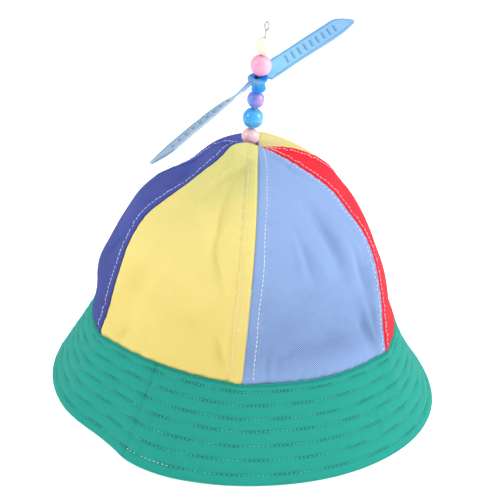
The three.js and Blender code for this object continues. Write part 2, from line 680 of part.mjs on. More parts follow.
// The socket's mouth rests on the purple bead, and the bore crosses the wire at half its length
const toWorld = (points) => points.map((point) => point.applyMatrix4(propellerFrame));
const downwards = { origin: new THREE.Vector3(), direction: mast.direction.clone().negate() };
const crossing = boreAxis.clone().multiplyScalar(boreMiddle);
const mouth = toWorld([...circlePoints(boreRadius, mouthHeight), ...circlePoints(socketMouth, mouthHeight)]);
const mouthSeat = seatAbove(mouth.map((point) => point.sub(crossing)), downwards, SMALL_BEAD_RADIUS);
const crossingHeight = purpleHeight + mouthSeat;
const propellerPlace = mast.origin.clone().addScaledVector(mast.direction, crossingHeight).sub(crossing);

const propeller = namedMesh('propeller', propellerGeometry(), plastic(0x5fbdf4));
propeller.quaternion.setFromRotationMatrix(propellerFrame);
propeller.position.copy(propellerPlace);
hat.add(propeller);

const topPoints = [];
for (let radius = boreRadius; radius < FLANGE_RADIUS; radius += SEAT_STEP) {
  topPoints.push(...circlePoints(radius, flangeTop));
}
topPoints.push(...circlePoints(FLANGE_RADIUS, flangeTop));
const corners = propeller.geometry.getAttribute('position');
for (let corner = 0; corner < corners.count; corner += 1) {
  topPoints.push(new THREE.Vector3().fromBufferAttribute(corners, corner));
}
const propellerPoints = toWorld(topPoints).map((point) => point.add(propellerPlace));
const pinkLargeHeight = seatAbove(propellerPoints, mast, LARGE_BEAD_RADIUS);
const ivoryHeight = pinkLargeHeight + LARGE_BEAD_RADIUS + SEAT_GAP + SMALL_BEAD_RADIUS;
addBead('bead_pink_large', LARGE_BEAD_RADIUS, pinkLargeHeight, 0xfdb4d2);
addBead('bead_ivory', SMALL_BEAD_RADIUS, ivoryHeight, 0xf6f0d8);

const intoStack = new THREE.Matrix4().makeRotationFromQuaternion(mastTurn.clone().invert());
const hookBase = ivoryHeight + SMALL_BEAD_RADIUS;
const wireGeometry = mastWireGeometry(intoStack, hookBase, crownNormal(MAST_AZIMUTH, mastUp));
stack.add(namedMesh('mast_wire', wireGeometry, new THREE.MeshStandardMaterial(WIRE_FINISH)));

export default hat;
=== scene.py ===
"""Looks of a propeller beanie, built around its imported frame.

Lengths in the shape classes are millimetres in the part's own frame: the origin is on the floor at
the middle of the brim, +Z is up and the front looks along -Y. Azimuth is in degrees from the front,
positive towards +X, and up is a share of the way from the brim to the crown's tip. Meshes are
written in metres.
"""

import json
import logging
import math
from collections.abc import Callable, Sequence
from dataclasses import dataclass, field
from enum import Enum, IntEnum
from typing import Any

import bpy
import numpy as np
from mathutils import Matrix, Vector


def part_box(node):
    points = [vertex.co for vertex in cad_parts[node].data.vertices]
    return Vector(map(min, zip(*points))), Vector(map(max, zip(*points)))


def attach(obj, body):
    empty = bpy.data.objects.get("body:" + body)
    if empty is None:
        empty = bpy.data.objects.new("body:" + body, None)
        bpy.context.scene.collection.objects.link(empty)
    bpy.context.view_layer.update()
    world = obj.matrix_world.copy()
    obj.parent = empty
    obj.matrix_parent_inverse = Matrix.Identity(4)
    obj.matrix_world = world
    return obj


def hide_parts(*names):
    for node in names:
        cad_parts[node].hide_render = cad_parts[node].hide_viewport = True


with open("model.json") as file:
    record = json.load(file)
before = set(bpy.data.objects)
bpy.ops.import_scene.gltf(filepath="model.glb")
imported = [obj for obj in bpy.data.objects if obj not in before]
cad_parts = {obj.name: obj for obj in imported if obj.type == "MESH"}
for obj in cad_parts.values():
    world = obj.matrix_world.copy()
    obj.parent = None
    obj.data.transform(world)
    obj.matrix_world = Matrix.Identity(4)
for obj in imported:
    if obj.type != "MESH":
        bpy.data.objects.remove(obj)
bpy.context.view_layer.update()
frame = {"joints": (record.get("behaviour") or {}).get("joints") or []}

LOG = logging.getLogger("beanie")
MM = 0.001
FULL_TURN = 360.0
WELD = 1e-7
CLOTH_UV = "cloth_mm"
# Name of the layer of painted shade that the cloth meshes carry, 0 for none and 1 for full
SHADE_LAYER = "crease"
THREAD_UV = "thread"
BLADE_UV = "blade"
EDGE = "edge"
DEPTH = "depth"

Colour = tuple[float, float, float, float]
Array = np.ndarray


def srgb(code: str) -> Colour:
    """Turn a colour code such as "A1C0EE" into scene-linear RGBA.

    Args:
        code: six hexadecimal digits.

    Returns:
        Linear red, green, blue and an alpha of 1.
    """
    parts = [int(code[start:start + 2], 16) / 255 for start in (0, 2, 4)]
    linear = [p / 12.92 if p <= 0.04045 else ((p + 0.055) / 1.055) ** 2.4 for p in parts]
    return (*linear, 1.0)


def bell(distance: Array, width: float) -> Array:
    """Height of a bell curve of this width at a distance from its middle."""
    return np.exp(-((distance / width) ** 2))


def smooth_share(value: Array, low: float, high: float) -> Array:
    """Smooth share from 0 at low to 1 at high."""
    share = np.clip((value - low) / (high - low), 0, 1)
    return share * share * (3 - 2 * share)


def wrapped(azimuth: Array) -> Array:
    """The same azimuth between -180 and 180 degrees."""
    return np.mod(azimuth + FULL_TURN / 2, FULL_TURN) - FULL_TURN / 2


def round_z(radius: Array, angle: Array, height: Array) -> Array:
    """Points at a radius and a height, at an angle in radians from the front."""
    return np.stack([radius * np.sin(angle), -radius * np.cos(angle), height], -1)


def upright(direction: Vector) -> Matrix:
    """The turn that brings +Z to a direction."""
    return Vector((0, 0, 1)).rotation_difference(direction).to_matrix().to_4x4()


# Nodes


class Value:
    """A number socket that Python's operators turn into Math nodes."""

    def __init__(self, graph: "Graph", socket: bpy.types.NodeSocket) -> None:
        """Keep the socket and the graph that it belongs to."""
        self.graph = graph
        self.socket = socket

    def __add__(self, other: "Value | float") -> "Value":
        """Add."""
        return self.graph.maths("ADD", self, other)

    __radd__ = __add__

    def __sub__(self, other: "Value | float") -> "Value":
        """Subtract."""
        return self.graph.maths("SUBTRACT", self, other)

    def __rsub__(self, other: "Value | float") -> "Value":
        """Subtract from a number."""
        return self.graph.maths("SUBTRACT", other, self)

    def __mul__(self, other: "Value | float") -> "Value":
        """Multiply."""
        return self.graph.maths("MULTIPLY", self, other)

    __rmul__ = __mul__

    def __truediv__(self, other: "Value | float") -> "Value":
        """Divide."""
        return self.graph.maths("DIVIDE", self, other)

    def __rtruediv__(self, other: "Value | float") -> "Value":
        """Divide a number by this."""
        return self.graph.maths("DIVIDE", other, self)

    def __abs__(self) -> "Value":
        """Size without sign."""
        return self.graph.maths("ABSOLUTE", self)

    def sine(self) -> "Value":
        """Sine of an angle in radians."""
        return self.graph.maths("SINE", self)

    def between(self, low: float, high: float) -> "Value":
        """Smooth share from 0 at low to 1 at high.

        Args:
            low: Where the share is 0.
            high: Where the share is 1.

        Returns:
            The share.
        """
        ramp = self.graph.node(
            "ShaderNodeMapRange",
            {"interpolation_type": "SMOOTHSTEP"},
            {"Value": self, "From Min": low, "From Max": high},
        )
        return Value(self.graph, ramp.outputs["Result"])


class Graph:
    """The nodes of one material."""

    def __init__(self, name: str) -> None:
        """Start an empty material.

        Args:
            name: the material's name.
        """
        self.material = bpy.data.materials.new(name)
        self.material.use_nodes = True
        self.tree = self.material.node_tree
        self.tree.nodes.clear()

    def node(
        self,
        kind: str,
        settings: dict[str, Any] | None = None,
        sockets: dict[Any, Any] | None = None,
    ) -> bpy.types.Node:
        """Add a node, set it up, and fill or link its sockets.

        Args:
            kind: the node's type.
            settings: properties that are set before the sockets are.
            sockets: a value or a link for each input, by name or number.

        Returns:
            The new node.
        """
        node = self.tree.nodes.new(kind)
        for key, value in (settings or {}).items():
            setattr(node, key, value)
        for key, value in (sockets or {}).items():
            source = value.socket if isinstance(value, Value) else value
            if isinstance(source, bpy.types.NodeSocket):
                self.tree.links.new(source, node.inputs[key])
            else:
                node.inputs[key].default_value = source
        return node

    def maths(self, operation: str, *values: Value | float) -> Value:
        """Add a Math node and return its result."""
        node = self.node("ShaderNodeMath", {"operation": operation}, dict(enumerate(values)))
        return Value(self, node.outputs[0])

    def blend(self, share: Value | float, first: Any, second: Any) -> bpy.types.NodeSocket:
        """Mix two colours.

        Args:
            share: how much of the second colour there is.
            first: a colour or a socket.
            second: a colour or a socket.

        Returns:
            The mixed colour's socket.
        """
        mix = self.node("ShaderNodeMix", {"data_type": "RGBA"}, {0: share, 6: first, 7: second})
        return mix.outputs[2]

    def noise(self, where: bpy.types.NodeSocket, scale: float, detail: float = 2.0) -> Value:
        """Fractal noise from 0 to 1.

        Args:
            where: the coordinates.
            scale: features for each unit of the coordinates.
            detail: how many finer layers are added.

        Returns:
            The noise's value.
        """
        texture = self.node(
            "ShaderNodeTexNoise", {}, {"Vector": where, "Scale": scale, "Detail": detail}
        )
        return Value(self, texture.outputs["Fac"])

    def object_place(self, centre: Vector | None = None) -> bpy.types.NodeSocket:
        """Object coordinates in metres, from a centre.

        Args:
            centre: The centre, in metres.

        Returns:
            The socket with the coordinates.
        """
        place = self.node("ShaderNodeTexCoord").outputs["Object"]
        if centre is None:
            return place
        shift = {"Vector": place, "Location": -centre}
        return self.node("ShaderNodeMapping", {}, shift).outputs["Vector"]

    def parts(self, vector: bpy.types.NodeSocket) -> tuple[Value, Value, Value]:
        """Split a vector into its three numbers."""
        split = self.node("ShaderNodeSeparateXYZ", {}, {"Vector": vector})
        return tuple(Value(self, output) for output in split.outputs)

    def uv(self, name: str) -> bpy.types.NodeSocket:
        """Coordinates of a UV map."""
        return self.node("ShaderNodeUVMap", {"uv_map": name}).outputs["UV"]

    def attribute(self, name: str) -> Value:
        """A number that the mesh carries at its vertices."""
        node = self.node("ShaderNodeAttribute", {"attribute_name": name})
        return Value(self, node.outputs["Fac"])

    def bump(self, height: Value, depth: float, strength: float = 1.0) -> bpy.types.NodeSocket:
        """Turn a height from 0 to 1 into a normal.

        Args:
            height: the relief.
            depth: metres between 0 and 1.
            strength: how strongly it shows.

        Returns:
            The normal's socket.
        """
        sockets = {"Height": height, "Distance": depth, "Strength": strength}
        return self.node("ShaderNodeBump", {}, sockets).outputs["Normal"]

    def finish(self, sockets: dict[str, Any]) -> bpy.types.Material:
        """End the graph in a Principled shader.

        Args:
            sockets: the shader's values and links.

        Returns:
            The material.
        """
        shader = self.node("ShaderNodeBsdfPrincipled", {}, sockets)
        self.node("ShaderNodeOutputMaterial", {}, {"Surface": shader.outputs["BSDF"]})
        return self.material


# Finishes


@dataclass(frozen=True)
class ClothFinish:
    """Cotton twill: fine diagonal wales, soft mottling, and painted shade low on the crown, near
    its tip and in its folds and seams.
    """

    name: str
    body: str
    # low: painted shade, the darker colour of the lower crown
    low: str
    # top: painted light and shade near the tip, a little lighter on most panels and a greenish
    # shade on the front yellow, for light thrown back from the blue panels
    top: str
    # fold: painted shade in creases, seams, needle holes and along the crown's foot
    fold_shade: str
    weft: str
    wale_share: float = 0.12
    wale_pitch: float = 1.1
    wale_rise: float = 0.9
    yarn_rise: float = 0.7
    yarn_share: float = 1.1
    fuzz_scale: float = 2.6
    mottle_scale: float = 0.05
    mottle_height: float = 0.05
    relief: float = 0.00022
    low_shade_height: float = 0.085
    top_height: float = 0.128
    fade: float = 0.03
    # foot_light: painted light, less of the low painted shade in a band just above the brim
    foot_light: float = 0.0
    foot_band: tuple[float, float] = (0.049, 0.06)

    def material(self) -> bpy.types.Material:
        """Build the material on the cloth's own UV map, which is in millimetres.

        Returns:
            The finished material.
        """
        graph = Graph(self.name)
        flat = graph.uv(CLOTH_UV)
        across, along, _ = graph.parts(flat)
        _, _, height = graph.parts(graph.object_place())
        turn = 2 * math.pi / self.wale_pitch
        wale = ((across + along * self.wale_rise) * turn).sine() * 0.5 + 0.5
        crossing = (along - across * self.yarn_rise) * (turn * self.yarn_share)
        yarn = crossing.sine() * 0.5 + 0.5
        fuzz = graph.noise(flat, self.fuzz_scale, 3)
        mottle = graph.noise(flat, self.mottle_scale, 4)
        fold_shade = graph.attribute(SHADE_LAYER)
        level = height + (mottle - 0.5) * self.mottle_height
        # Painted light and shade: above the top height the colour turns to the top colour
        upper = level.between(self.top_height - self.fade / 2, self.top_height + self.fade / 2)
        # Painted shade: below the low height the colour turns to the low colour
        lower = 1 - level.between(self.low_shade_height - self.fade, self.low_shade_height + self.fade)
        # Painted light: less of that painted shade right above the brim
        lower = lower * (1 - (1 - height.between(*self.foot_band)) * self.foot_light)
        colour = graph.blend(lower, srgb(self.body), srgb(self.low))
        colour = graph.blend(upper, colour, srgb(self.top))
        # Painted shade: the mesh's layer of painted shade turns the colour to the fold colour
        colour = graph.blend(fold_shade.between(0.0, 1.0), colour, srgb(self.fold_shade))
        weave = wale * (0.45 + yarn * 0.55) * (0.7 + fuzz * 0.6)
        colour = graph.blend(weave * self.wale_share, colour, srgb(self.weft))
        relief = wale * 0.45 + yarn * 0.2 + fuzz * 0.35
        return graph.finish({
            "Base Color": colour,
            "Roughness": 0.8 + fuzz * 0.16,
            "Specular IOR Level": 0.18,
            "Sheen Weight": 0.03,
            "Sheen Roughness": 0.5,
            "Normal": graph.bump(relief, self.relief),
        })


@dataclass(frozen=True)
class ThreadFinish:
    """Sewing thread: two plies that wind round each other."""

    name: str
    body: str
    shade: str

    def material(self) -> bpy.types.Material:
        """Build the material on the stitches' own UV map.

        Returns:
            The finished material.
        """
        graph = Graph(self.name)
        along, around, _ = graph.parts(graph.uv(THREAD_UV))
        ply = ((along * 3 + around) * (2 * math.pi)).sine() * 0.5 + 0.5
        mottle = graph.noise(graph.object_place(), 260, 2)
        share = (1 - ply) * 0.3 + mottle.between(0.4, 0.7) * 0.45
        return graph.finish({
            "Base Color": graph.blend(share, srgb(self.body), srgb(self.shade)),
            "Roughness": 0.55 + mottle * 0.2,
            "Normal": graph.bump(ply, 0.00006),
        })


@dataclass(frozen=True)
class BeadFinish:
    """Polished plastic bead with a soft cloudy colour and a clear skin, painted lighter towards its
    right side and with painted shade towards its bottom.
    """

    name: str
    # left and right: painted light, the right colour for the side that the stronger lamp lights
    left: str
    right: str
    # core: painted shade towards the bottom
    underside_shade: str

    def material(self, centre: Vector, radius: float) -> bpy.types.Material:
        """Build the material round one bead.

        Args:
            centre: the bead's middle in metres.
            radius: the bead's radius in metres.

        Returns:
            The material.
        """
        graph = Graph(self.name)
        place = graph.object_place(centre)
        sideways, _, height = graph.parts(place)
        cloud = graph.noise(place, 170, 3)
        # Painted light: lighter towards the right side, mottled by the cloud
        share = (sideways / radius + (cloud - 0.5) * 0.7).between(-0.55, 0.55)
        colour = graph.blend(share, srgb(self.left), srgb(self.right))
        # Painted shade: darker towards the bottom
        low = (height * (-1 / radius) + (cloud - 0.5) * 0.5).between(-0.2, 1.1)
        colour = graph.blend(low * 0.6, colour, srgb(self.underside_shade))
        return graph.finish({
            "Base Color": colour,
            "Roughness": 0.26 + cloud * 0.12,
            "Coat Weight": 0.4,
            "Coat Roughness": 0.16,
            "Subsurface Weight": 0.4,
            "Subsurface Radius": (1.0, 0.7, 0.6),
            "Subsurface Scale": 0.004,
            "Normal": graph.bump(cloud, 0.00005),
        })


@dataclass(frozen=True)
class BladeFinish:
    """Thin moulded plastic that the light passes, with painted shade along its rims, ribs and
    edges.
    """

    name: str
    root: str
    tip: str
    # line: painted shade for the dark lines that the clear plastic shows at its ribs, rims and
    # edges
    line: str
    first_rib: float = 24.96
    rib_pitch: float = 5.408
    rib_rise: float = 0.577
    ribs: int = 9
    rib_line: tuple[float, float] = (0.2, 0.4)
    rib_end_line: tuple[float, float] = (0.7, 1.0)
    row_end: tuple[float, float] = (1.2, 1.6)
    row_half: tuple[float, float] = (2.3, 2.8)
    ridge_rise: tuple[float, float] = (0.74, 0.8)
    ridge_fall: tuple[float, float] = (0.86, 0.9)
    rim_shade: tuple[float, float] = (0.93, 1.0)
    fade: tuple[float, float] = (15, 75)

    def material(self) -> bpy.types.Material:
        """Build the material on the flat blade's own UV map, which is in millimetres.

        Returns:
            The finished material.
        """
        graph = Graph(self.name)
        out, across, _ = graph.parts(graph.uv(BLADE_UV))
        edge = abs(graph.attribute(EDGE))
        flow = graph.noise(graph.object_place(), 70, 3)
        colour = graph.blend(out.between(*self.fade), srgb(self.root), srgb(self.tip))
        colour = graph.blend(flow.between(0.4, 0.75) * 0.3, colour, srgb(self.root))
        slanted = out - across * self.rib_rise
        near = graph.maths("PINGPONG", slanted - self.first_rib, self.rib_pitch / 2)
        last = self.first_rib + (self.ribs - 1) * self.rib_pitch
        inner, outer = self.row_end
        along = slanted.between(self.first_rib - outer, self.first_rib - inner)
        along = along * (1 - slanted.between(last + inner, last + outer))
        within = along * (1 - abs(across).between(*self.row_half))
        # Painted shade: dark lines beside each rib, on the rims' inner steps and at the outer edges
        ribs = near.between(*self.rib_line) * (1 - near.between(*self.rib_end_line)) * within
        ridge_shade = edge.between(*self.ridge_rise) * (1 - edge.between(*self.ridge_fall))
        share = ribs * 0.85 + ridge_shade * 0.7 + edge.between(*self.rim_shade) * 0.5
        colour = graph.blend(graph.maths("MINIMUM", share, 1.0), colour, srgb(self.line))
        return graph.finish({
            "Base Color": colour,
            "Roughness": 0.24 + flow * 0.16,
            "Transmission Weight": 0.3,
            "Specular IOR Level": 0.45,
            "Coat Weight": 0.2,
            "Normal": graph.bump(flow, 0.0003),
        })


@dataclass(frozen=True)
class HubFinish:
    """Thicker moulded plastic: a pale flange on a deeper socket."""

    name: str
    body: str
    deep: str
    flange: str

    def material(self) -> bpy.types.Material:
        """Build the material on object coordinates and the depth that the hub's mesh carries.

        Returns:
            The finished material.
        """
        graph = Graph(self.name)
        flow = graph.noise(graph.object_place(), 160, 3)
        socket = graph.blend(flow.between(0.3, 0.7), srgb(self.body), srgb(self.deep))
        depth = graph.attribute(DEPTH) + (flow - 0.5) * 0.2
        return graph.finish({
            "Base Color": graph.blend(depth.between(0.0, 1.0), srgb(self.flange), socket),
            "Roughness": 0.26 + flow * 0.14,
            "Specular IOR Level": 0.25,
            "Normal": graph.bump(flow, 0.0002),
        })


@dataclass(frozen=True)
class WireFinish:
    """Drawn steel wire with fine marks along it."""

    name: str
    body: str
    dull: str

    def material(self) -> bpy.types.Material:
        """Build the material on object coordinates, drawn out along the wire.

        Returns:
            The finished material.
        """
        graph = Graph(self.name)
        squeezed = {"Vector": graph.object_place(), "Scale": (1, 1, 0.08)}
        drawn = graph.node("ShaderNodeMapping", {}, squeezed).outputs["Vector"]
        lines = graph.noise(drawn, 6000, 2)
        return graph.finish({
            "Base Color": graph.blend(lines.between(0.35, 0.7), srgb(self.body), srgb(self.dull)),
            "Metallic": 0.95,
            "Roughness": 0.24 + lines * 0.2,
            "Normal": graph.bump(lines, 0.00003),
        })


@dataclass(frozen=True)
class FloorFinish:
    """Plain pale studio floor that is lit evenly from within."""

    name: str
    body: str
    glow: float = 0.5

    def material(self) -> bpy.types.Material:
        """Build the material.

        Returns:
            The finished material.
        """
        graph = Graph(self.name)
        grain = graph.noise(graph.object_place(), 900, 1)
        return graph.finish({
            "Base Color": srgb(self.body),
            "Roughness": 0.7 + grain * 0.1,
            "Emission Color": srgb(self.body),
            "Emission Strength": self.glow,
        })


class Thread(Enum):
    """The threads that the hat is sewn with."""

    WHITE = ThreadFinish("thread_white", "F6F4F4", "C9CCDA")
    PALE = ThreadFinish("thread_pale", "F7E3BC", "EEDC9C")
    GREEN = ThreadFinish("thread_green", "58C6B6", "2FA394")
    LOOSE = ThreadFinish("thread_pale_green", "C9EAE2", "8FD0C4")


class Seed(IntEnum):
    """Starts of the random draws. Most are added to the number of a seam or of a row."""

    FOOT = 11
    SLOW = 50
    SEAM = 400
    ACROSS = 700
    WANDER = 900
    STITCHES = 1200
    BRIM = 2000
    BRIM_STITCHES = 3000


# Meshes


class Bench:
    """Steps that every mesh is made with, as by hand."""

    @staticmethod
    def clear() -> None:
        """Leave edit mode and deselect everything."""
        if bpy.context.mode != "OBJECT":
            bpy.ops.object.mode_set(mode="OBJECT")
        bpy.ops.object.select_all(action="DESELECT")

    @classmethod
    def pick(cls, piece: bpy.types.Object) -> None:
        """Select one object alone and make it active.

        Args:
            piece: The object.
        """
        cls.clear()
        piece.select_set(True)
        bpy.context.view_layer.objects.active = piece

    @staticmethod
    def newest(name: str) -> bpy.types.Object:
        """Name the object that an operator has just added, and return it.

        Args:
            name: The object's name.

        Returns:
            The named object.
        """
        piece = bpy.context.active_object
        piece.name = name
        piece.data.name = name
        return piece

    @classmethod
    def edit(cls, piece: bpy.types.Object, everything: bool = True) -> None:
        """Enter edit mode on one object with all or nothing of it selected.

        Args:
            piece: The object.
            everything: Whether all of it is selected, or nothing.
        """
        cls.pick(piece)
        bpy.ops.object.mode_set(mode="EDIT")
        bpy.ops.mesh.select_all(action="SELECT" if everything else "DESELECT")

    @classmethod
    def grid(cls, name: str, columns: int, rows: int) -> bpy.types.Object:
        """Add a flat grid of one unit with so many columns and rows of faces.

        Args:
            name: The object's name.
            columns: Faces along X.
            rows: Faces along Y.

        Returns:
            The grid.
        """
        cls.clear()
        bpy.ops.mesh.primitive_grid_add(x_subdivisions=columns, y_subdivisions=rows, size=1)
        return cls.newest(name)

    @staticmethod
    def stand(name: str, data: bpy.types.ID) -> bpy.types.Object:
        """Put an object with this data into the scene.

        Args:
            name: The object's name.
            data: The object's data.

        Returns:
            The new object.
        """
        piece = bpy.data.objects.new(name, data)
        bpy.context.scene.collection.objects.link(piece)
        return piece

    @staticmethod
    def points(mesh: bpy.types.Mesh) -> Array:
        """The vertices' places, one row for each.

        Args:
            mesh: The mesh.

        Returns:
            The places, in metres.
        """
        flat = np.empty(len(mesh.vertices) * 3)
        mesh.vertices.foreach_get("co", flat)
        return flat.reshape(-1, 3)

    @staticmethod
    def put(mesh: bpy.types.Mesh, points: Array) -> None:
        """Move the vertices to new places."""
        mesh.vertices.foreach_set("co", np.asarray(points, np.float32).ravel())
        mesh.update()

    @staticmethod
    def paint(mesh: bpy.types.Mesh, name: str, values: Array) -> None:
        """Store a number at each vertex."""
        layer = mesh.attributes.new(name, "FLOAT", "POINT")
        layer.data.foreach_set("value", np.asarray(values, np.float32))

    @staticmethod
    def corners(mesh: bpy.types.Mesh) -> Array:
        """The vertex of each face corner.

        Args:
            mesh: The mesh.

        Returns:
            The index of the vertex for each face corner.
        """
        index = np.empty(len(mesh.loops), np.int32)
        mesh.loops.foreach_get("vertex_index", index)
        return index

    @staticmethod
    def unwrap(mesh: bpy.types.Mesh, name: str, flat: Array) -> None:
        """Replace the UV maps by one with a place for each face corner.

        Args:
            mesh: The mesh.
            name: The UV map's name.
            flat: A place for each face corner, one row for each.
        """
        while mesh.uv_layers:
            mesh.uv_layers.remove(mesh.uv_layers[0])
        layer = mesh.uv_layers.new(name=name)
        layer.data.foreach_set("uv", np.asarray(flat, np.float32).ravel())

    @classmethod
    def apply(cls, piece: bpy.types.Object, kind: str, **settings: Any) -> None:
        """Add a modifier with its settings and apply it.

        Args:
            piece: The object.
            kind: The modifier's kind.
            settings: The settings.
        """
        cls.pick(piece)
        modifier = piece.modifiers.new(kind.title(), kind)
        for key, value in settings.items():
            setattr(modifier, key, value)
        bpy.ops.object.modifier_apply(modifier=modifier.name)

    @classmethod
    def smooth(cls, piece: bpy.types.Object, degrees: float) -> None:
        """Shade smooth but for edges sharper than this."""
        cls.pick(piece)
        bpy.ops.object.shade_smooth_by_angle(angle=math.radians(degrees))

    @classmethod
    def outwards(cls, piece: bpy.types.Object) -> None:
        """Merge doubles and turn the faces outwards.

        Args:
            piece: The object.
        """
        cls.edit(piece)
        bpy.ops.mesh.remove_doubles(threshold=WELD)
        bpy.ops.mesh.normals_make_consistent(inside=False)
        cls.clear()

    @classmethod
    def turned(
        cls, name: str, outline: Sequence[tuple[float, float]], sides: int
    ) -> bpy.types.Object:
        """Make a closed ring about Z from an outline, by extruding a circle round it.

        Args:
            name: the object's name.
            outline: radius and height of each corner in millimetres, round once.
            sides: how many sides the ring has.

        Returns:
            The new object.
        """
        cls.clear()
        radius, height = outline[0]
        bpy.ops.mesh.primitive_circle_add(
            vertices=sides, radius=radius * MM, location=(0, 0, height * MM), fill_type="NOTHING"
        )
        piece = cls.newest(name)
        cls.pick(piece)
        bpy.ops.object.transform_apply(location=True, rotation=False, scale=False)
        cls.edit(piece)
        for next_radius, next_height in (*outline[1:], outline[0]):
            bpy.ops.mesh.extrude_edges_move()
            grow = next_radius / radius
            bpy.ops.transform.resize(value=(grow, grow, 1), center_override=(0, 0, 0))
            bpy.ops.transform.translate(value=(0, 0, (next_height - height) * MM))
            radius, height = next_radius, next_height
        bpy.ops.mesh.select_all(action="SELECT")
        bpy.ops.mesh.remove_doubles(threshold=WELD)
        bpy.ops.mesh.normals_make_consistent(inside=False)
        cls.clear()
        return piece

    @classmethod
    def joined(cls, name: str, pieces: Sequence[bpy.types.Object]) -> bpy.types.Object:
        """Join several objects into the first one.

        Args:
            name: The object's name.
            pieces: The objects, which become one.

        Returns:
            The one object.
        """
        cls.clear()
        for piece in pieces:
            piece.select_set(True)
        bpy.context.view_layer.objects.active = pieces[0]
        bpy.ops.object.join()
        return cls.newest(name)

    @staticmethod
    def dress(piece: bpy.types.Object, material: bpy.types.Material) -> None:
        """Give a piece one material."""
        piece.data.materials.clear()
        piece.data.materials.append(material)


def place_piece(piece: bpy.types.Object, body: str, slot: str, *nodes: str) -> None:
    """Say what carries a piece, and which nodes it stands for.

    Args:
        piece: the finished piece.
        body: the CAD body that it rides on.
        slot: the record's material slot; not used.
        *nodes: CAD nodes that it stands for.
    """
    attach(piece, body)
    if nodes:
        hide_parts(*nodes)
    LOG.info("%s: %d faces, rides on %s", piece.name, len(piece.data.polygons), body)


class Ripple:
    """Smooth wrinkles along a line of cloth, the same on each run."""

    waves: int = 8
    spread: float = 2.4

    def __init__(self, seed: int, shortest: float, longest: float, period: float = 0.0) -> None:
        """Choose the waves.

        Args:
            seed: start of the draw.
            shortest: shortest wave in millimetres.
            longest: longest wave in millimetres.
            period: length that whole waves fit into, or 0 for any.
        """
        draw = np.random.default_rng(seed)
        lengths = draw.uniform(shortest, longest, self.waves)
        if period:
            lengths = period / np.round(period / lengths)
        self.turns = 2 * math.pi / lengths
        self.phases = draw.uniform(0, 2 * math.pi, self.waves)
        self.weights = draw.uniform(0.5, 1.0, self.waves) / self.spread

    def at(self, place: Array) -> Array:
        """Height from about -1 to 1 at each place in millimetres."""
        waves = np.sin(np.multiply.outer(place, self.turns) + self.phases)
        return waves @ self.weights


# Crown


@dataclass(frozen=True)
class Dent:
    """A dent (negative depth) or a bulge of the crown, as shares of the crown's radius."""

    azimuth: float
    up: float
    wide: float
    long: float
    lean: float
    depth: float


PROFILE = (
    # rise, spread
    (0.0, 1.0),
    (0.14, 0.966),
    (0.29, 0.936),
    (0.41, 0.903),
    (0.52, 0.866),
    (0.61, 0.817),
    (0.69, 0.75),
    (0.77, 0.643),
    (0.85, 0.528),
    (0.93, 0.345),
    (0.968, 0.23),
    (0.99, 0.12),
    (1.0, 0.0),
)

DENTS = (
    # azimuth, up, wide, long, lean, depth
    Dent(176, 0.735, 0.5, 0.22, 0, 0.06),
    Dent(126, 0.47, 0.36, 0.36, 0, -0.08),
    Dent(-106, 0.57, 0.32, 0.22, 0, -0.072),
    Dent(-72, 0.0, 0.38, 0.15, 0, 0.04),
    Dent(30, 0.0, 0.3, 0.2, 0, 0.02),
    Dent(95, 0.08, 0.25, 0.12, 0, -0.032),
    Dent(-86, 0.155, 0.32, 0.14, 0, 0.049),
    Dent(-90, 0.38, 0.28, 0.12, 0, -0.031),
    Dent(-95, 0.7, 0.3, 0.14, 0, -0.087),
    Dent(60, 0.68, 0.2, 0.2, 0, 0.017),
    Dent(-72, 0.3, 0.045, 0.2, 40, -0.012),
    Dent(-58, 0.925, 0.09, 0.12, 0, 0.035),
    Dent(-134, 0.945, 0.11, 0.11, 0, -0.02),
    Dent(-22, 0.795, 0.04, 0.12, 9, -0.022),
    Dent(-31, 0.79, 0.05, 0.12, 9, 0.014),
    Dent(-17, 0.465, 0.06, 0.29, -17, -0.013),
    Dent(-26, 0.22, 0.13, 0.17, -4, -0.022),
    Dent(-49, 0.1, 0.06, 0.13, 30, -0.013),
    Dent(-8.5, 0.09, 0.045, 0.09, -17, -0.013),
    Dent(41, 0.55, 0.07, 0.15, 10, -0.022),
    Dent(54, 0.33, 0.06, 0.16, 7, -0.016),
    Dent(49, 0.13, 0.05, 0.16, -19, -0.03),
    Dent(31, 0.15, 0.05, 0.11, -50, -0.011),
    Dent(43, 0.815, 0.035, 0.07, -24, -0.011),
    Dent(165, 0.35, 0.22, 0.3, 12, -0.02),
    Dent(140, 0.3, 0.2, 0.25, -8, 0.015),
)

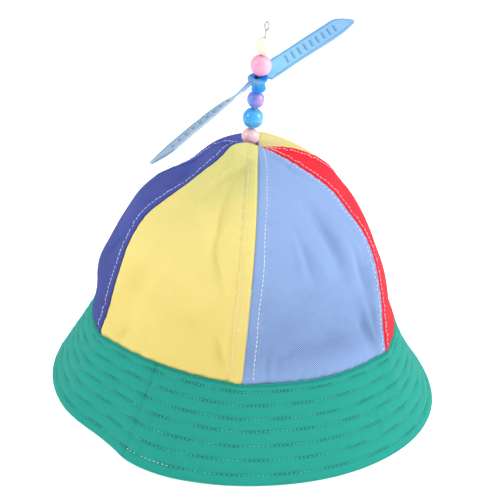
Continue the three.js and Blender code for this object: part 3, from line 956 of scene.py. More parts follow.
# What only the looks have: narrow creases, the raised tip of the front panel, and what
# takes back a part of two dents of the solids
CREASES = (
    # azimuth, up, wide, long, lean, depth
    Dent(-56, 0.895, 0.11, 0.075, 0, 0.03),
    Dent(-26, 0.955, 0.08, 0.05, 0, 0.02),
    Dent(-22, 0.795, 0.045, 0.12, 9, 0.016),
    Dent(-29.5, 0.775, 0.026, 0.11, 18, -0.026),
    Dent(-33, 0.83, 0.016, 0.06, 22, -0.007),
    Dent(-18.8, 0.56, 0.022, 0.18, -9, -0.014),
    Dent(-13.8, 0.39, 0.022, 0.14, -24, -0.012),
    Dent(-49, 0.27, 0.09, 0.21, 28, -0.018),
    Dent(-41, 0.23, 0.06, 0.18, 35, 0.01),
    Dent(-49.5, 0.05, 0.02, 0.08, 24, -0.016),
    Dent(-18.5, 0.18, 0.09, 0.11, -10, -0.013),
    Dent(-38, 0.06, 0.018, 0.07, 22, -0.007),
    Dent(-8.5, 0.1, 0.02, 0.1, -17, -0.01),
    Dent(41, 0.55, 0.07, 0.15, 10, 0.016),
    Dent(38.9, 0.5, 0.052, 0.22, -8, -0.037),
    Dent(23.6, 0.44, 0.026, 0.15, -12, -0.012),
    Dent(30.5, 0.4, 0.03, 0.12, -18, 0.007),
    Dent(20.3, 0.43, 0.022, 0.12, -5, 0.007),
    Dent(51.5, 0.345, 0.028, 0.15, -8, -0.022),
    Dent(51.5, 0.12, 0.024, 0.13, -17, -0.019),
    Dent(54, 0.17, 0.022, 0.12, -14, -0.014),
    Dent(47, 0.12, 0.022, 0.12, -17, 0.008),
    Dent(31, 0.12, 0.048, 0.25, 88, -0.025),
    Dent(16, 0.1, 0.03, 0.1, 60, -0.009),
    Dent(7.8, 0.06, 0.018, 0.08, 0, -0.012),
    Dent(11.5, 0.05, 0.018, 0.05, 0, -0.009),
    Dent(-72, 0.33, 0.018, 0.2, 38, -0.01),
    Dent(-76, 0.16, 0.02, 0.1, 52, -0.008),
    Dent(-76, 0.62, 0.02, 0.1, 30, -0.008),
    Dent(88, 0.3, 0.025, 0.16, 8, -0.008),
    Dent(104, 0.55, 0.02, 0.14, -12, -0.008),
    Dent(150, 0.42, 0.025, 0.2, 14, -0.009),
    Dent(170, 0.2, 0.02, 0.14, -24, -0.008),
    Dent(-160, 0.5, 0.025, 0.18, 12, -0.008),
    Dent(-140, 0.18, 0.02, 0.14, 30, -0.008),
    Dent(-100, 0.25, 0.02, 0.14, -20, -0.008),
)


@dataclass
class CrownShape:
    """The crown's surface: a profile turned about Z, flattened panel by panel and dented."""

    radius: float = 90.0
    height: float = 98.5
    foot: float = 46.15
    foot_flatness: float = 0.3
    flatness_rise: float = 0.4
    seam_bow: float = 3.4
    bow_power: int = 5
    panel_angle: float = 60.0
    flatness: tuple[float, ...] = (0.4, 0.1, 0.35, 0.35, 0.9, 0.4)
    samples: int = 1500
    length: float = field(init=False)

    def __post_init__(self) -> None:
        """Sample the profile by its length, and set up the dents."""
        curve = self._curve([(s * self.radius, r * self.height) for r, s in PROFILE])
        steps = np.hypot(*np.diff(curve, axis=0).T)
        gone = np.concatenate([[0.0], np.cumsum(steps)])
        self.length = float(gone[-1])
        self._up = np.linspace(0, 1, self.samples + 1)
        self._spread = np.interp(self._up, gone / self.length, curve[:, 0])
        self._rise = np.interp(self._up, gone / self.length, curve[:, 1])
        slope = np.stack([np.gradient(self._spread), np.gradient(self._rise)])
        self._tangent = slope / np.hypot(*slope)

    @staticmethod
    def _curve(corners: Sequence[tuple[float, float]], steps: int = 60) -> Array:
        """Centripetal Catmull-Rom curve through the corners.

        Args:
            corners: the points that the curve passes.
            steps: points for each stretch between two corners.

        Returns:
            Points along the curve.
        """
        inner = np.array(corners, float)
        ends = np.vstack([2 * inner[0] - inner[1], inner, 2 * inner[-1] - inner[-2]])
        stretches = []
        for start in range(1, len(ends) - 2):
            four = ends[start - 1:start + 3]
            gaps = np.sqrt(np.hypot(*np.diff(four, axis=0).T))
            knots = np.concatenate([[0.0], np.cumsum(gaps)])
            at = np.linspace(knots[1], knots[2], steps, endpoint=False)[:, None]

            def between(a: Array, b: Array, low: int, high: int) -> Array:
                """Blend two points between two knots."""
                span = knots[high] - knots[low]
                return (knots[high] - at) / span * a + (at - knots[low]) / span * b

            first = [between(four[i], four[i + 1], i, i + 1) for i in range(3)]
            second = [between(first[i], first[i + 1], i, i + 2) for i in range(2)]
            stretches.append(between(second[0], second[1], 1, 2))
        return np.vstack([*stretches, inner[-1:]])

    def profile(self, up: Array) -> tuple[Array, Array, Array, Array]:
        """Radius, height and the tangent's two parts at a share of the way up.

        Args:
            up: Share of the way up.

        Returns:
            Radius and height, and the tangent's part outwards and part upwards.
        """
        share = np.clip(up, 0, 1)
        columns = (self._spread, self._rise, *self._tangent)
        return tuple(np.interp(share, self._up, column) for column in columns)

    def up_at(self, radius: Array) -> Array:
        """Share of the way up at which the profile has this radius."""
        return np.interp(radius, self._spread[::-1], self._up[::-1])

    def _panel_share(self, azimuth: Array, up: Array) -> Array:
        """Share of a round crown's radius that a flattened panel keeps.

        Args:
            azimuth: Degrees from the front.
            up: Share of the way up.

        Returns:
            The factor on the radius.
        """
        turned = np.mod(azimuth + 180, FULL_TURN)
        panel = (turned // self.panel_angle).astype(int) % len(self.flatness)
        full = np.array(self.flatness)[panel]
        rise = smooth_share(up, 0, self.flatness_rise)
        flat = self.foot_flatness + (full - self.foot_flatness) * rise
        from_middle = np.radians(turned % self.panel_angle - self.panel_angle / 2)
        return 1 - flat * (1 - math.cos(math.radians(self.panel_angle / 2)) / np.cos(from_middle))

    def _bowed(self, azimuth: Array, up: Array) -> Array:
        """Azimuth after the front seam's bow.

        Args:
            azimuth: Degrees from the front.
            up: Share of the way up.

        Returns:
            Azimuth in degrees.
        """
        turned = wrapped(azimuth)
        share = np.clip(up, 0, 1)
        nearness = np.maximum(1 - np.abs(turned) / self.panel_angle, 0)
        return azimuth + self.seam_bow * (share - share ** self.bow_power) * nearness

    def _smooth(self, azimuth: Array, up: Array) -> Array:
        """Point of the crown without its dents.

        Args:
            azimuth: Degrees from the front.
            up: Share of the way up.

        Returns:
            The points, in millimetres.
        """
        radius, height, _, _ = self.profile(up)
        reach = radius * self._panel_share(azimuth, up)
        return round_z(reach, np.radians(self._bowed(azimuth, up)), self.foot + height)

    def depth(self, points: Array, dents: Sequence[Dent]) -> Array:
        """Sum of the dents' depths at points of the smooth crown, in millimetres.

        Args:
            points: places on the smooth crown.
            dents: what is summed.

        Returns:
            A depth for each point, negative inwards.
        """
        total = np.zeros(points.shape[:-1])
        for dent in dents:
            azimuth, up = np.array(float(dent.azimuth)), np.array(float(dent.up))
            _, _, out, rise = self.profile(up)
            angle, lean = math.radians(dent.azimuth), math.radians(dent.lean)
            ray = np.array([math.sin(angle), -math.cos(angle), 0.0])
            sideways = np.array([math.cos(angle), math.sin(angle), 0.0])
            z_axis = np.array([0.0, 0.0, 1.0])
            offset = points - self._smooth(azimuth, up)
            across = offset @ sideways
            along = offset @ (ray * out + z_axis * rise)
            beyond = offset @ (ray * rise - z_axis * out) / self.radius
            short = (across * math.cos(lean) - along * math.sin(lean)) / (dent.wide * self.radius)
            long = (across * math.sin(lean) + along * math.cos(lean)) / (dent.long * self.radius)
            total += dent.depth * self.radius * np.exp(-short**2 - long**2 - beyond**2)
        return total

    def point(self, azimuth: Array, up: Array, lift: Array | float = 0.0) -> Array:
        """Point of the dented crown, raised by a lift.

        Args:
            azimuth: degrees from the front.
            up: share of the way to the tip.
            lift: millimetres outwards.

        Returns:
            One point for each pair of values.
        """
        azimuth, up = np.asarray(azimuth, float), np.asarray(up, float)
        points = self._smooth(azimuth, up)
        _, _, out, rise = self.profile(up)
        angle = np.radians(self._bowed(azimuth, up))
        level = np.where(up <= 0, 0.0, -out)
        normal = round_z(rise, angle, level)
        depth = self.depth(points, DENTS) + lift
        return points + normal * depth[..., None]

    def crease_depth(self, azimuth: Array, up: Array) -> Array:
        """Depth of the narrow creases in millimetres, negative inwards."""
        return self.depth(self._smooth(azimuth, up), CREASES)


@dataclass(frozen=True)
class Row:
    """A row of stitches beside a panel's seam."""

    offset: float
    thread: Thread
    end: float = 0.97


@dataclass(frozen=True)
class Panel:
    """One crown panel: its CAD node, its first seam, its cloth and its rows of stitches."""

    node: str
    name: str
    first_seam: float
    finish: ClothFinish
    slot: str
    left_rows: tuple[Row, ...] = ()
    right_rows: tuple[Row, ...] = ()


# Cloths: name, body, low (painted shade), top (painted light and shade near the tip), fold (painted
# shade), weft
YELLOW = ClothFinish("twill_yellow", "ECDA84", "E5CF76", "DCD684", "C4B45C", "F6EAB4")
BACK_YELLOW = ClothFinish("twill_yellow_back", "EBD284", "E2C678", "E4D68C", "C4AA5C", "F6EAB4")
LIGHT_BLUE = ClothFinish(
    "twill_light_blue", "7094CC", "5074AC", "7498D2", "3F6298", "C2D5F4", wale_share=0.7,
    foot_light=0.55,
)
RED = ClothFinish("twill_red", "E4162E", "DA142C", "E61830", "8A1024", "F4566A", wale_share=0.16)
DARK_BLUE = ClothFinish(
    "twill_dark_blue", "3A4898", "313D86", "3C4A9C", "20296A", "7682CC", wale_share=0.24
)
GREEN = ClothFinish("twill_green", "209A8C", "209A8C", "209A8C", "0C6257", "50C4B4")

PANELS = (
    Panel(
        "gore_dark_blue_back", "panel_dark_blue_back", -180, DARK_BLUE, "cloth_dark_blue",
        (Row(4.6, Thread.WHITE),), (Row(4.6, Thread.WHITE),),
    ),
    Panel(
        "gore_dark_blue_left", "panel_dark_blue_left", -120, DARK_BLUE, "cloth_dark_blue",
        (), (Row(4.8, Thread.WHITE),),
    ),
    Panel(
        "gore_yellow_front", "panel_yellow_front", -60, YELLOW, "cloth_yellow",
        (), (Row(5.2, Thread.PALE), Row(7.4, Thread.PALE)),
    ),
    Panel(
        "gore_light_blue", "panel_light_blue", 0, LIGHT_BLUE, "cloth_light_blue",
        (Row(5.3, Thread.WHITE),), (Row(2.4, Thread.WHITE),),
    ),
    Panel(
        "gore_red", "panel_red", 60, RED, "cloth_red",
        (Row(4.6, Thread.WHITE),), (Row(4.6, Thread.WHITE),),
    ),
    Panel(
        "gore_yellow_back", "panel_yellow_back", 120, BACK_YELLOW, "cloth_yellow",
        (), (Row(4.8, Thread.PALE),),
    ),
)


@dataclass
class StitchMaker:
    """Makes joined rows of stitches from one small template."""

    length: float = 2.35
    width: float = 0.48
    height: float = 0.42
    arch: float = 0.14
    sides: int = 6
    rings: int = 5

    def __post_init__(self) -> None:
        """Model the template: a small ball drawn out along X, its ends bent down."""
        Bench.clear()
        bpy.ops.mesh.primitive_uv_sphere_add(
            segments=self.sides, ring_count=self.rings, radius=0.5, rotation=(0, math.pi / 2, 0)
        )
        template = Bench.newest("stitch_template")
        bpy.ops.object.transform_apply(location=False, rotation=True, scale=False)
        Bench.edit(template)
        size = (self.length, self.width, self.height)
        bpy.ops.transform.resize(value=size, center_override=(0, 0, 0))
        Bench.clear()
        mesh = template.data
        points = Bench.points(mesh)
        share = points[:, 0] / (self.length / 2)
        points[:, 2] -= self.arch * share**2
        self.points = points
        self.faces = [tuple(face.vertices) for face in mesh.polygons]
        corner = Bench.corners(mesh)
        around = np.arctan2(points[:, 2], points[:, 1]) / (2 * math.pi)
        self.flat = np.stack([(share[corner] + 1) / 2, around[corner]], -1)
        bpy.data.objects.remove(template)

    def rows(
        self, name: str, centres: Array, ways: Array, normals: Array, stretch: Array
    ) -> bpy.types.Object:
        """Set a stitch at each centre, all in one mesh.

        Args:
            name: the object's name.
            centres: places in millimetres.
            ways: unit vectors along each stitch.
            normals: unit vectors out of the cloth.
            stretch: how long each stitch is, against the template.

        Returns:
            The new object.
        """
        sideways = np.cross(normals, ways)
        sideways /= np.linalg.norm(sideways, axis=1, keepdims=True)
        frames = np.stack([ways * stretch[:, None], sideways, np.cross(ways, sideways)], 1)
        points = np.einsum("pk,nkj->npj", self.points, frames) + centres[:, None, :]
        count = len(self.points)
        faces = [
            tuple(corner + stitch * count for corner in face)
            for stitch in range(len(centres))
            for face in self.faces
        ]
        mesh = bpy.data.meshes.new(name)
        mesh.from_pydata((points.reshape(-1, 3) * MM).tolist(), [], faces)
        Bench.unwrap(mesh, THREAD_UV, np.tile(self.flat, (len(centres), 1)))
        piece = Bench.stand(name, mesh)
        Bench.smooth(piece, 180)
        return piece


@dataclass
class Crown:
    """Six cloth panels with their seams, and the topstitching on them."""

    shape: CrownShape
    stitches: StitchMaker
    columns: int = 92
    rows: int = 144
    row_bunching: float = 1.12
    edge_columns: int = 20
    edge_band: float = 9.5
    edge_band_share: float = 0.56
    edge_bunching: float = 1.3
    seam_half_gap: float = 0.06
    tip_radius: float = 0.35
    cloth: float = 1.5
    seam_roll: float = 0.75
    roll_width: float = 0.7
    allowance_rise: float = 0.36
    allowance_width: float = 6.6
    allowance_edge: float = 0.9
    narrow_half: float = 5.0
    full_half: float = 10.0
    groove_depth: float = 0.3
    groove_width: float = 0.6
    pucker: float = 0.2
    pale_pucker: float = 0.35
    pucker_waves: tuple[float, float] = (3.6, 9.5)
    slow_waves: tuple[float, float] = (14, 40)
    across_waves: tuple[float, float] = (5, 15)
    across_swell: float = 0.2
    across_reach: float = 5.0
    # Painted shade: how dark the creases and the seams' grooves are painted, and a painted shadow
    # along the crown's foot
    crease_shade: float = 0.42
    crease_reach: float = 1.3
    relief_shade: float = 0.8
    relief_reach: float = 1.1
    foot_shadow: float = 0.8
    foot_shadow_waves: tuple[float, float] = (5, 14)
    foot_shadow_azimuth: float = -20.0
    foot_shadow_width: float = 17.0
    foot_roll: float = 0.75
    foot_overlap: float = 0.3
    pitch: float = 2.5
    first_stitch: float = 0.012
    row_samples: int = 900
    wander: float = 0.22
    wander_waves: tuple[float, float] = (25, 60)
    inside_height: float = 60.0
    ring_radius: float = 5.4
    ring_angles: tuple[float, float, float] = (-120, 61, 26.0)
    ring_centre: tuple[float, float] = (-5.2, 5.3)

    def _width(self, up: Array) -> tuple[Array, Array]:
        """The crown's radius at a share of the way up, and half a panel's width there."""
        radius = np.maximum(self.shape.profile(up)[0], self.tip_radius)
        return radius, radius * math.radians(self.shape.panel_angle / 2)

    def _lay_out(self, panel: Panel, share_across: Array, share_up: Array) -> dict[str, Array]:
        """Where each vertex of a panel's grid lies on the crown.

        Args:
            panel: the panel.
            share_across: 0 at the first seam, 1 at the next one.
            share_up: 0 at the brim, 1 at the tip.

        Returns:
            Azimuth, up, distances from the two seams, and half the panel's width.
        """
        top = 1 - self.tip_radius / self.shape.length
        up = top * share_up**self.row_bunching
        _, half = self._width(up)
        band = np.minimum(self.edge_band, self.edge_band_share * half)
        mirrored = np.where(share_across > 0.5, 1 - share_across, share_across)
        edge = self.edge_columns / self.columns
        inner = (mirrored - edge) / (0.5 - edge)
        near = band * np.clip(mirrored / edge, 0, 1) ** self.edge_bunching
        distance = np.where(mirrored < edge, near, band + (half - band) * inner)
        left = np.where(share_across > 0.5, 2 * half - distance, distance)
        return self._at_distance(panel, left, up)

    def _at_distance(self, panel: Panel, left: Array, up: Array) -> dict[str, Array]:
        """Place points by their distance from the panel's first seam.

        Args:
            panel: The panel.
            left: Distance from the panel's first seam, in millimetres.
            up: Share of the way up.

        Returns:
            What is known about each point, by name.
        """
        radius, half = self._width(up)
        margin = np.minimum(self.seam_half_gap, 0.2 * half)
        kept = margin + left * (half - margin) / half
        azimuth = panel.first_seam + np.degrees(kept / radius)
        return {"azimuth": azimuth, "up": up, "left": left, "right": 2 * half - left, "half": half}

    def _narrowed(self, width: Array | float, half: Array) -> Array:
        """A width beside a seam, less where the panel is narrow."""
        return width * (half / np.hypot(half, self.narrow_half))

    def _relief(self, panel: Panel, at: dict[str, Array]) -> Array:
        """Seams, seam allowances, stitched grooves and puckers, in millimetres.

        Args:
            panel: the panel.
            at: the places, from _lay_out.

        Returns:
            A lift for each place.
        """
        along = at["up"] * self.shape.length
        room = np.clip(at["half"] / self.full_half, 0, 1)
        lift = np.zeros_like(along)
        sides = ((at["left"], panel.left_rows, 1), (at["right"], panel.right_rows, 2))
        for distance, rows, side in sides:
            lift -= self.seam_roll * room * bell(distance, self.roll_width)
            seed = int(panel.first_seam) + Seed.SEAM + side
            ripple = Ripple(seed, *self.pucker_waves).at(along)
            slow = Ripple(seed + Seed.SLOW, *self.slow_waves).at(along)
            if rows:
                beyond = distance - self._narrowed(self.allowance_width, at["half"])
                inside = 1 - smooth_share(beyond, -self.allowance_edge, self.allowance_edge)
                lift += self.allowance_rise * room * inside
            for row in rows:
                off = distance - self._narrowed(row.offset, at["half"])
                lift -= self.groove_depth * room * bell(off, self.groove_width)
                tight = self.pale_pucker if row.thread is Thread.PALE else 1.0
                swell = self.pucker * room * tight * (1 + 0.5 * slow)
                lift += swell * ripple * bell(off - 1.4, 2.8)
            lift += 0.5 * self.pucker * room * ripple * bell(distance - 2.0, 3.0)
        across = Ripple(int(panel.first_seam) + Seed.ACROSS, *self.across_waves).at(at["left"])
        lift += self.across_swell * across * bell(along, self.across_reach)
        return lift - self.foot_roll * bell(along, 0.95)

    def _surface(self, panel: Panel, at: dict[str, Array]) -> tuple[Array, Array]:
        """Points of the finished outer face, and the painted shade at each one.

        Args:
            panel: The panel.
            at: What is known about each point of the panel.

        Returns:
            The points, and the painted shade at each, from 0 to 1.
        """
        relief = self._relief(panel, at)
        creases = self.shape.crease_depth(at["azimuth"], at["up"])
        points = self.shape.point(at["azimuth"], at["up"], relief + creases)
        along = at["up"] * self.shape.length
        points[..., 2] -= self.foot_overlap * bell(along, 0.8)
        # Painted shade in the creases and the grooves, and a painted shadow along the foot, uneven
        # in front
        fold_shade = self.crease_shade * (1 - np.exp(np.minimum(creases, 0) / self.crease_reach))
        fold_shade += np.clip(-relief / self.relief_reach, 0, self.relief_shade)
        front = bell(at["azimuth"] - self.foot_shadow_azimuth, self.foot_shadow_width)
        ripple = Ripple(Seed.FOOT, *self.foot_shadow_waves).at(at["left"])
        shadow = self.foot_shadow + 0.5 * front * ripple
        return points, np.clip(fold_shade + shadow * bell(along, 0.7), 0, 1)

    def _panel(self, panel: Panel) -> bpy.types.Object:
        """Make one panel from a flat grid.

        Args:
            panel: The panel.

        Returns:
            The panel as an object.
        """
        piece = Bench.grid(panel.name, self.columns, self.rows)
        mesh = piece.data
        flat = Bench.points(mesh)
        share_across = np.clip(flat[:, 0] + 0.5, 0, 1)
        share_up = np.clip(flat[:, 1] + 0.5, 0, 1)
        at = self._lay_out(panel, share_across, share_up)
        points, fold_shade = self._surface(panel, at)
        Bench.put(mesh, points * MM)
        Bench.paint(mesh, SHADE_LAYER, fold_shade)
        corner = Bench.corners(mesh)
        cut = np.stack([at["left"] - at["half"], at["up"] * self.shape.length], -1)
        Bench.unwrap(mesh, CLOTH_UV, cut[corner])
        Bench.apply(piece, "SOLIDIFY", thickness=self.cloth * MM, offset=-1)
        Bench.smooth(piece, 60)
        Bench.dress(piece, panel.finish.material())
        place_piece(piece, "root", panel.slot, panel.node)
        return piece

    def _stitch_row(self, panel: Panel, row: Row, right: bool) -> tuple[Array, ...]:
        """Centres, ways and normals of one row of stitches.

        Args:
            panel: the panel that the row is on.
            row: the row.
            right: whether it runs beside the panel's second seam.

        Returns:
            Centres, ways, normals and stretches.
        """
        up = np.linspace(self.first_stitch, row.end, self.row_samples)
        _, half = self._width(up)
        ripple = Ripple(int(panel.first_seam) + Seed.WANDER + right, *self.wander_waves)
        wander = self._narrowed(self.wander * ripple.at(up * self.shape.length), half)

        def line(extra: float) -> Array:
            """Points along the row, this far beside it.

            Args:
                extra: Distance beside the row, in millimetres.

            Returns:
                The points, in millimetres.
            """
            beside = self._narrowed(row.offset, half) + extra + wander
            left = 2 * half - beside if right else beside
            return self._surface(panel, self._at_distance(panel, left, up))[0]

        middle, beside = line(0.0), line(0.5)
        steps = np.linalg.norm(np.diff(middle, axis=0), axis=1)
        gone = np.concatenate([[0.0], np.cumsum(steps)])
        count = int(gone[-1] / self.pitch)
        seed = int(panel.first_seam) + int(row.offset * 10) + Seed.STITCHES
        draw = np.random.default_rng(seed)
        wanted = (np.arange(count) + 0.5) * self.pitch + draw.uniform(-0.16, 0.16, count)
        index = np.clip(np.searchsorted(gone, wanted), 1, len(up) - 2)
        ways = middle[index + 1] - middle[index - 1]
        ways /= np.linalg.norm(ways, axis=1, keepdims=True)
        normals = np.cross(ways, beside[index] - middle[index])
        normals /= np.linalg.norm(normals, axis=1, keepdims=True)
        outward = middle[index] - np.array([0.0, 0.0, self.inside_height])
        normals *= np.sign(np.sum(normals * outward, axis=1, keepdims=True))
        centres = middle[index] + normals * 0.12
        return centres, ways, normals, draw.uniform(0.88, 1.06, count)

    def _topstitching(self, panel: Panel) -> None:
        """Sew a panel's rows, one piece for each thread.

        Args:
            panel: The panel.
        """
        for thread in Thread:
            runs = [
                self._stitch_row(panel, row, right)
                for rows, right in ((panel.left_rows, False), (panel.right_rows, True))
                for row in rows
                if row.thread is thread
            ]
            if not runs:
                continue
            joined = [np.concatenate(column) for column in zip(*runs)]
            name = panel.name.replace("panel", "topstitch") + "_" + thread.name.lower()
            piece = self.stitches.rows(name, *joined)
            Bench.dress(piece, thread.value.material())
            place_piece(piece, "root", panel.slot)

    def _foot_ring(self) -> None:
        """Sew half a ring of stitches in front of the wire's foot."""
        angles = np.radians(np.arange(*self.ring_angles))

        def ring(radius: float, turn: float = 0.0) -> Array:
            """Points on the cloth round the wire's foot.

            Args:
                radius: The radius, in millimetres.
                turn: A turn of the whole ring, in radians.

            Returns:
                The points, in millimetres.
            """
            x = self.ring_centre[0] + radius * np.sin(angles + turn)
            y = self.ring_centre[1] - radius * np.cos(angles + turn)
            up = self.shape.up_at(np.hypot(x, y))
            azimuth = np.degrees(np.arctan2(x, -y))
            return self.shape.point(azimuth, up, self.shape.crease_depth(azimuth, up))

        centres = ring(self.ring_radius)
        ways = ring(self.ring_radius, 0.05) - ring(self.ring_radius, -0.05)
        ways /= np.linalg.norm(ways, axis=1, keepdims=True)
        normals = np.cross(centres - ring(self.ring_radius - 0.5), ways)
        normals *= np.sign(normals[:, 2:]) / np.linalg.norm(normals, axis=1, keepdims=True)
        stretch = np.full(len(angles), 0.8)
        piece = self.stitches.rows("topstitch_wire_foot", centres, ways, normals, stretch)
        Bench.dress(piece, Thread.WHITE.value.material())
        place_piece(piece, "root", "cloth_dark_blue")

    def build(self) -> None:
        """Make and sew all panels."""
        for panel in PANELS:
            self._panel(panel)
            self._topstitching(panel)
        self._foot_ring()


# Brim

BRIM_EDGE = (
    # azimuth, reach, belly
    (-180, 1.008, 0),
    (-150, 1.0, 0),
    (-120, 0.993, 0),
    (-90, 0.99, 0),
    (-63, 0.978, 0),
    (-46, 0.953, 0),
    (-38, 0.967, 0),
    (-30, 1.008, 0),
    (-19, 1.024, 0),
    (-8, 1.015, 0),
    (12, 0.998, 0),
    (35, 0.995, 0),
    (62, 0.999, 0),
    (78, 0.995, -0.04),
    (100, 0.986, -0.53),
    (130, 0.995, -0.06),
    (155, 1.002, 0),
)


@dataclass
class Brim:
    """The brim: two layers of twill sewn together in rows, with a turned edge and one seam."""

    crown: CrownShape
    stitches: StitchMaker
    radius: float = 114.5
    top: float = 45.85
    half_thickness: float = 1.2
    edge_growth: float = 0.5
    low: float = 0.04
    high: float = 0.986
    stitch_rows: tuple[float, ...] = (0.122, 0.263, 0.4, 0.54, 0.66, 0.793, 0.925)
    seam_azimuth: float = -32.0
    pale_start: float = -31.5
    pale_end: float = -18.0
    columns: int = 560
    span_steps: int = 10
    round_steps: int = 6
    inner_steps: int = 24
    groove_depth: float = 0.4
    groove_width: float = 0.78
    pillow: float = 0.26
    pucker: float = 0.36
    pucker_waves: tuple[float, float] = (3.2, 7.0)
    # Painted shade in the stitched grooves, darker at the needle holes, in the radial seam, and a
    # painted shadow along the top edge under the crown
    groove_shade: float = 0.16
    hole_shade: float = 0.5
    seam_depth: float = 0.55
    seam_width: float = 1.0
    seam_shade: float = 0.3
    seam_shade_width: float = 0.7
    turning_rise: float = 0.22
    turning_middle: float = 4.0
    turning_edge: tuple[float, float] = (2.6, 4.2)
    top_shadow: float = 0.55
    top_shadow_width: float = 0.7
    floor_gap: float = 0.02
    thread_sink: float = 0.55
    thread_share: float = 0.68
    middle_radius: float = 102.0

    def __post_init__(self) -> None:
        """Space the rows of vertices closer at the stitching."""
        knots = (self.low, *self.stitch_rows, self.high)
        shares = (1 - np.cos(np.pi * np.arange(self.span_steps) / self.span_steps)) / 2
        spans = [low + (high - low) * shares for low, high in zip(knots, knots[1:])]
        self.ups = np.concatenate([*spans, [self.high]])
        self.around = 2 * math.pi * self.middle_radius
        bands = range(len(self.stitch_rows) + 2)
        self.ripples = [
            Ripple(Seed.BRIM + band, *self.pucker_waves, self.around) for band in bands
        ]
        self.slant = math.hypot(self.top, self.radius - self.crown.radius)

    def _edge(self, azimuth: Array, column: int) -> Array:
        """Smooth closed curve through one column of the table of the brim's edge.

        Args:
            azimuth: degrees from the front.
            column: 1 for the reach, 2 for the belly.

        Returns:
            The column's value at each azimuth.
        """
        table = np.array(BRIM_EDGE, float)
        at = np.concatenate([table[-2:, 0] - FULL_TURN, table[:, 0], table[:3, 0] + FULL_TURN])
        values = np.concatenate([table[-2:, column], table[:, column], table[:3, column]])
        slopes = np.gradient(values, at)
        slopes[1:-1] = (values[2:] - values[:-2]) / (at[2:] - at[:-2])
        turned = wrapped(azimuth)
        index = np.searchsorted(at, turned, side="right") - 1
        span = at[index + 1] - at[index]
        share = (turned - at[index]) / span
        square, cube = share**2, share**3
        start = (2 * cube - 3 * square + 1) * values[index]
        start += (cube - 2 * square + share) * slopes[index] * span
        end = (3 * square - 2 * cube) * values[index + 1]
        end += (cube - square) * slopes[index + 1] * span
        return start + end

    def _slope(self, azimuth: Array, up: Array) -> tuple[Array, Array, Array, Array]:
        """Radius and height of the wall's middle, and the two parts of its outward normal.

        Args:
            azimuth: Degrees from the front.
            up: Share of the way up.

        Returns:
            Radius, height, and the normal's part outwards and part upwards.
        """
        foot = self.crown.point(azimuth, np.zeros_like(azimuth))
        start = np.hypot(foot[..., 0], foot[..., 1])
        end = self.radius * self._edge(azimuth, 1) + self.edge_growth
        down = 1 - up
        share = down + self._edge(azimuth, 2) * down * up
        slant = np.hypot(self.top, end - start)
        out, rise = self.top / slant, (end - start) / slant
        radius = start + (end - start) * share - out * self.half_thickness
        return radius, self.top * up - rise * self.half_thickness, out, rise

    def _relief(self, azimuth: Array, up: Array, hole: Array) -> tuple[Array, Array]:
        """Relief of the outer face and the painted shade at each place.

        Args:
            azimuth: degrees from the front.
            up: share of the way to the crown.
            hole: 1 where a needle went in on an even row, 0 between.

        Returns:
            Lift in millimetres, and the painted shade from 0 to 1.
        """
        distance = up * self.slant
        around = np.radians(azimuth) * self.middle_radius
        knots = np.array([self.low, *self.stitch_rows, self.high]) * self.slant
        band = np.clip(np.searchsorted(knots, distance) - 1, 0, len(knots) - 2)
        inside = (distance - knots[band]) / (knots[band + 1] - knots[band])
        swell = np.sin(np.pi * np.clip(inside, 0, 1))
        lift = self.pillow * (swell - 0.4)
        fold_shade = np.zeros_like(lift)
        waves = np.stack([ripple.at(around) for ripple in self.ripples])
        lower = np.take_along_axis(waves, band[None], 0)[0]
        upper = np.take_along_axis(waves, band[None] + 1, 0)[0]
        blended = lower * (1 - inside) + upper * inside
        lift += self.pucker * blended * (0.55 + 0.45 * swell)
        for number, row in enumerate(knots[1:-1]):
            near = bell(distance - row, self.groove_width)
            pierced = hole if number % 2 == 0 else 1 - hole
            lift -= self.groove_depth * near * (0.75 + 0.5 * pierced)
            # Painted shade in the stitched groove, darker at the needle holes
            fold_shade += near**2 * (self.groove_shade + self.hole_shade * pierced)
        beside = np.radians(wrapped(azimuth - self.seam_azimuth)) * self.middle_radius
        lift -= self.seam_depth * bell(beside, self.seam_width)
        off = np.abs(beside - self.turning_middle)
        lift += self.turning_rise * (1 - smooth_share(off, *self.turning_edge))
        # Painted shade in the radial seam
        fold_shade += self.seam_shade * bell(beside, self.seam_shade_width)
        # Painted shadow along the top edge, under the crown's foot
        fold_shade += self.top_shadow * bell(distance - self.high * self.slant, self.top_shadow_width)
        return lift, np.clip(fold_shade, 0, 1)

    def _section(self, index: Array, azimuth: Array, hole: Array) -> tuple[Array, ...]:
        """Places round the brim's closed section.

        Args:
            index: number of each vertex round the section, from the outer face's lower end.
            azimuth: degrees from the front.
            hole: 1 where a needle went in on an even row.

        Returns:
            Points in millimetres, painted shade, and the way along the cloth from the edge.
        """
        outer = len(self.ups) - 1
        top_end = outer + self.round_steps
        inner_end = top_end + self.inner_steps
        on_face = index <= outer
        on_top = (index > outer) & (index <= top_end)
        on_inner = (index > top_end) & (index <= inner_end)
        back_share = np.clip((index - top_end) / self.inner_steps, 0, 1)
        face_up = self.ups[np.clip(index, 0, outer)]
        back_up = self.high + (self.low - self.high) * back_share
        up = np.where(on_face, face_up, np.where(on_top, self.high, back_up))
        up = np.where(index > inner_end, self.low, up)
        over = np.clip((index - outer) / self.round_steps, 0, 1)
        under = np.clip((index - inner_end) / self.round_steps, 0, 1)
        turn = np.where(on_top | on_inner, over, 0.0) * math.pi
        turn = np.where(index > inner_end, math.pi * (1 + under), turn)
        radius, height, out, rise = self._slope(azimuth, up)
        lift, fold_shade = self._relief(azimuth, up, hole)
        reach = self.half_thickness + np.where(on_face, lift, 0.0)
        along_normal, along_slope = np.cos(turn) * reach, np.sin(turn) * reach
        radius = radius + along_normal * out - along_slope * rise
        height = np.maximum(height + along_normal * rise + along_slope * out, self.floor_gap)
        points = round_z(radius, np.radians(azimuth), height)
        way = np.where(on_face, up, 2 * self.high - up) * self.slant
        # A little painted shade on the faces other than the outer one
        return points, np.where(on_face, fold_shade, 0.1), way

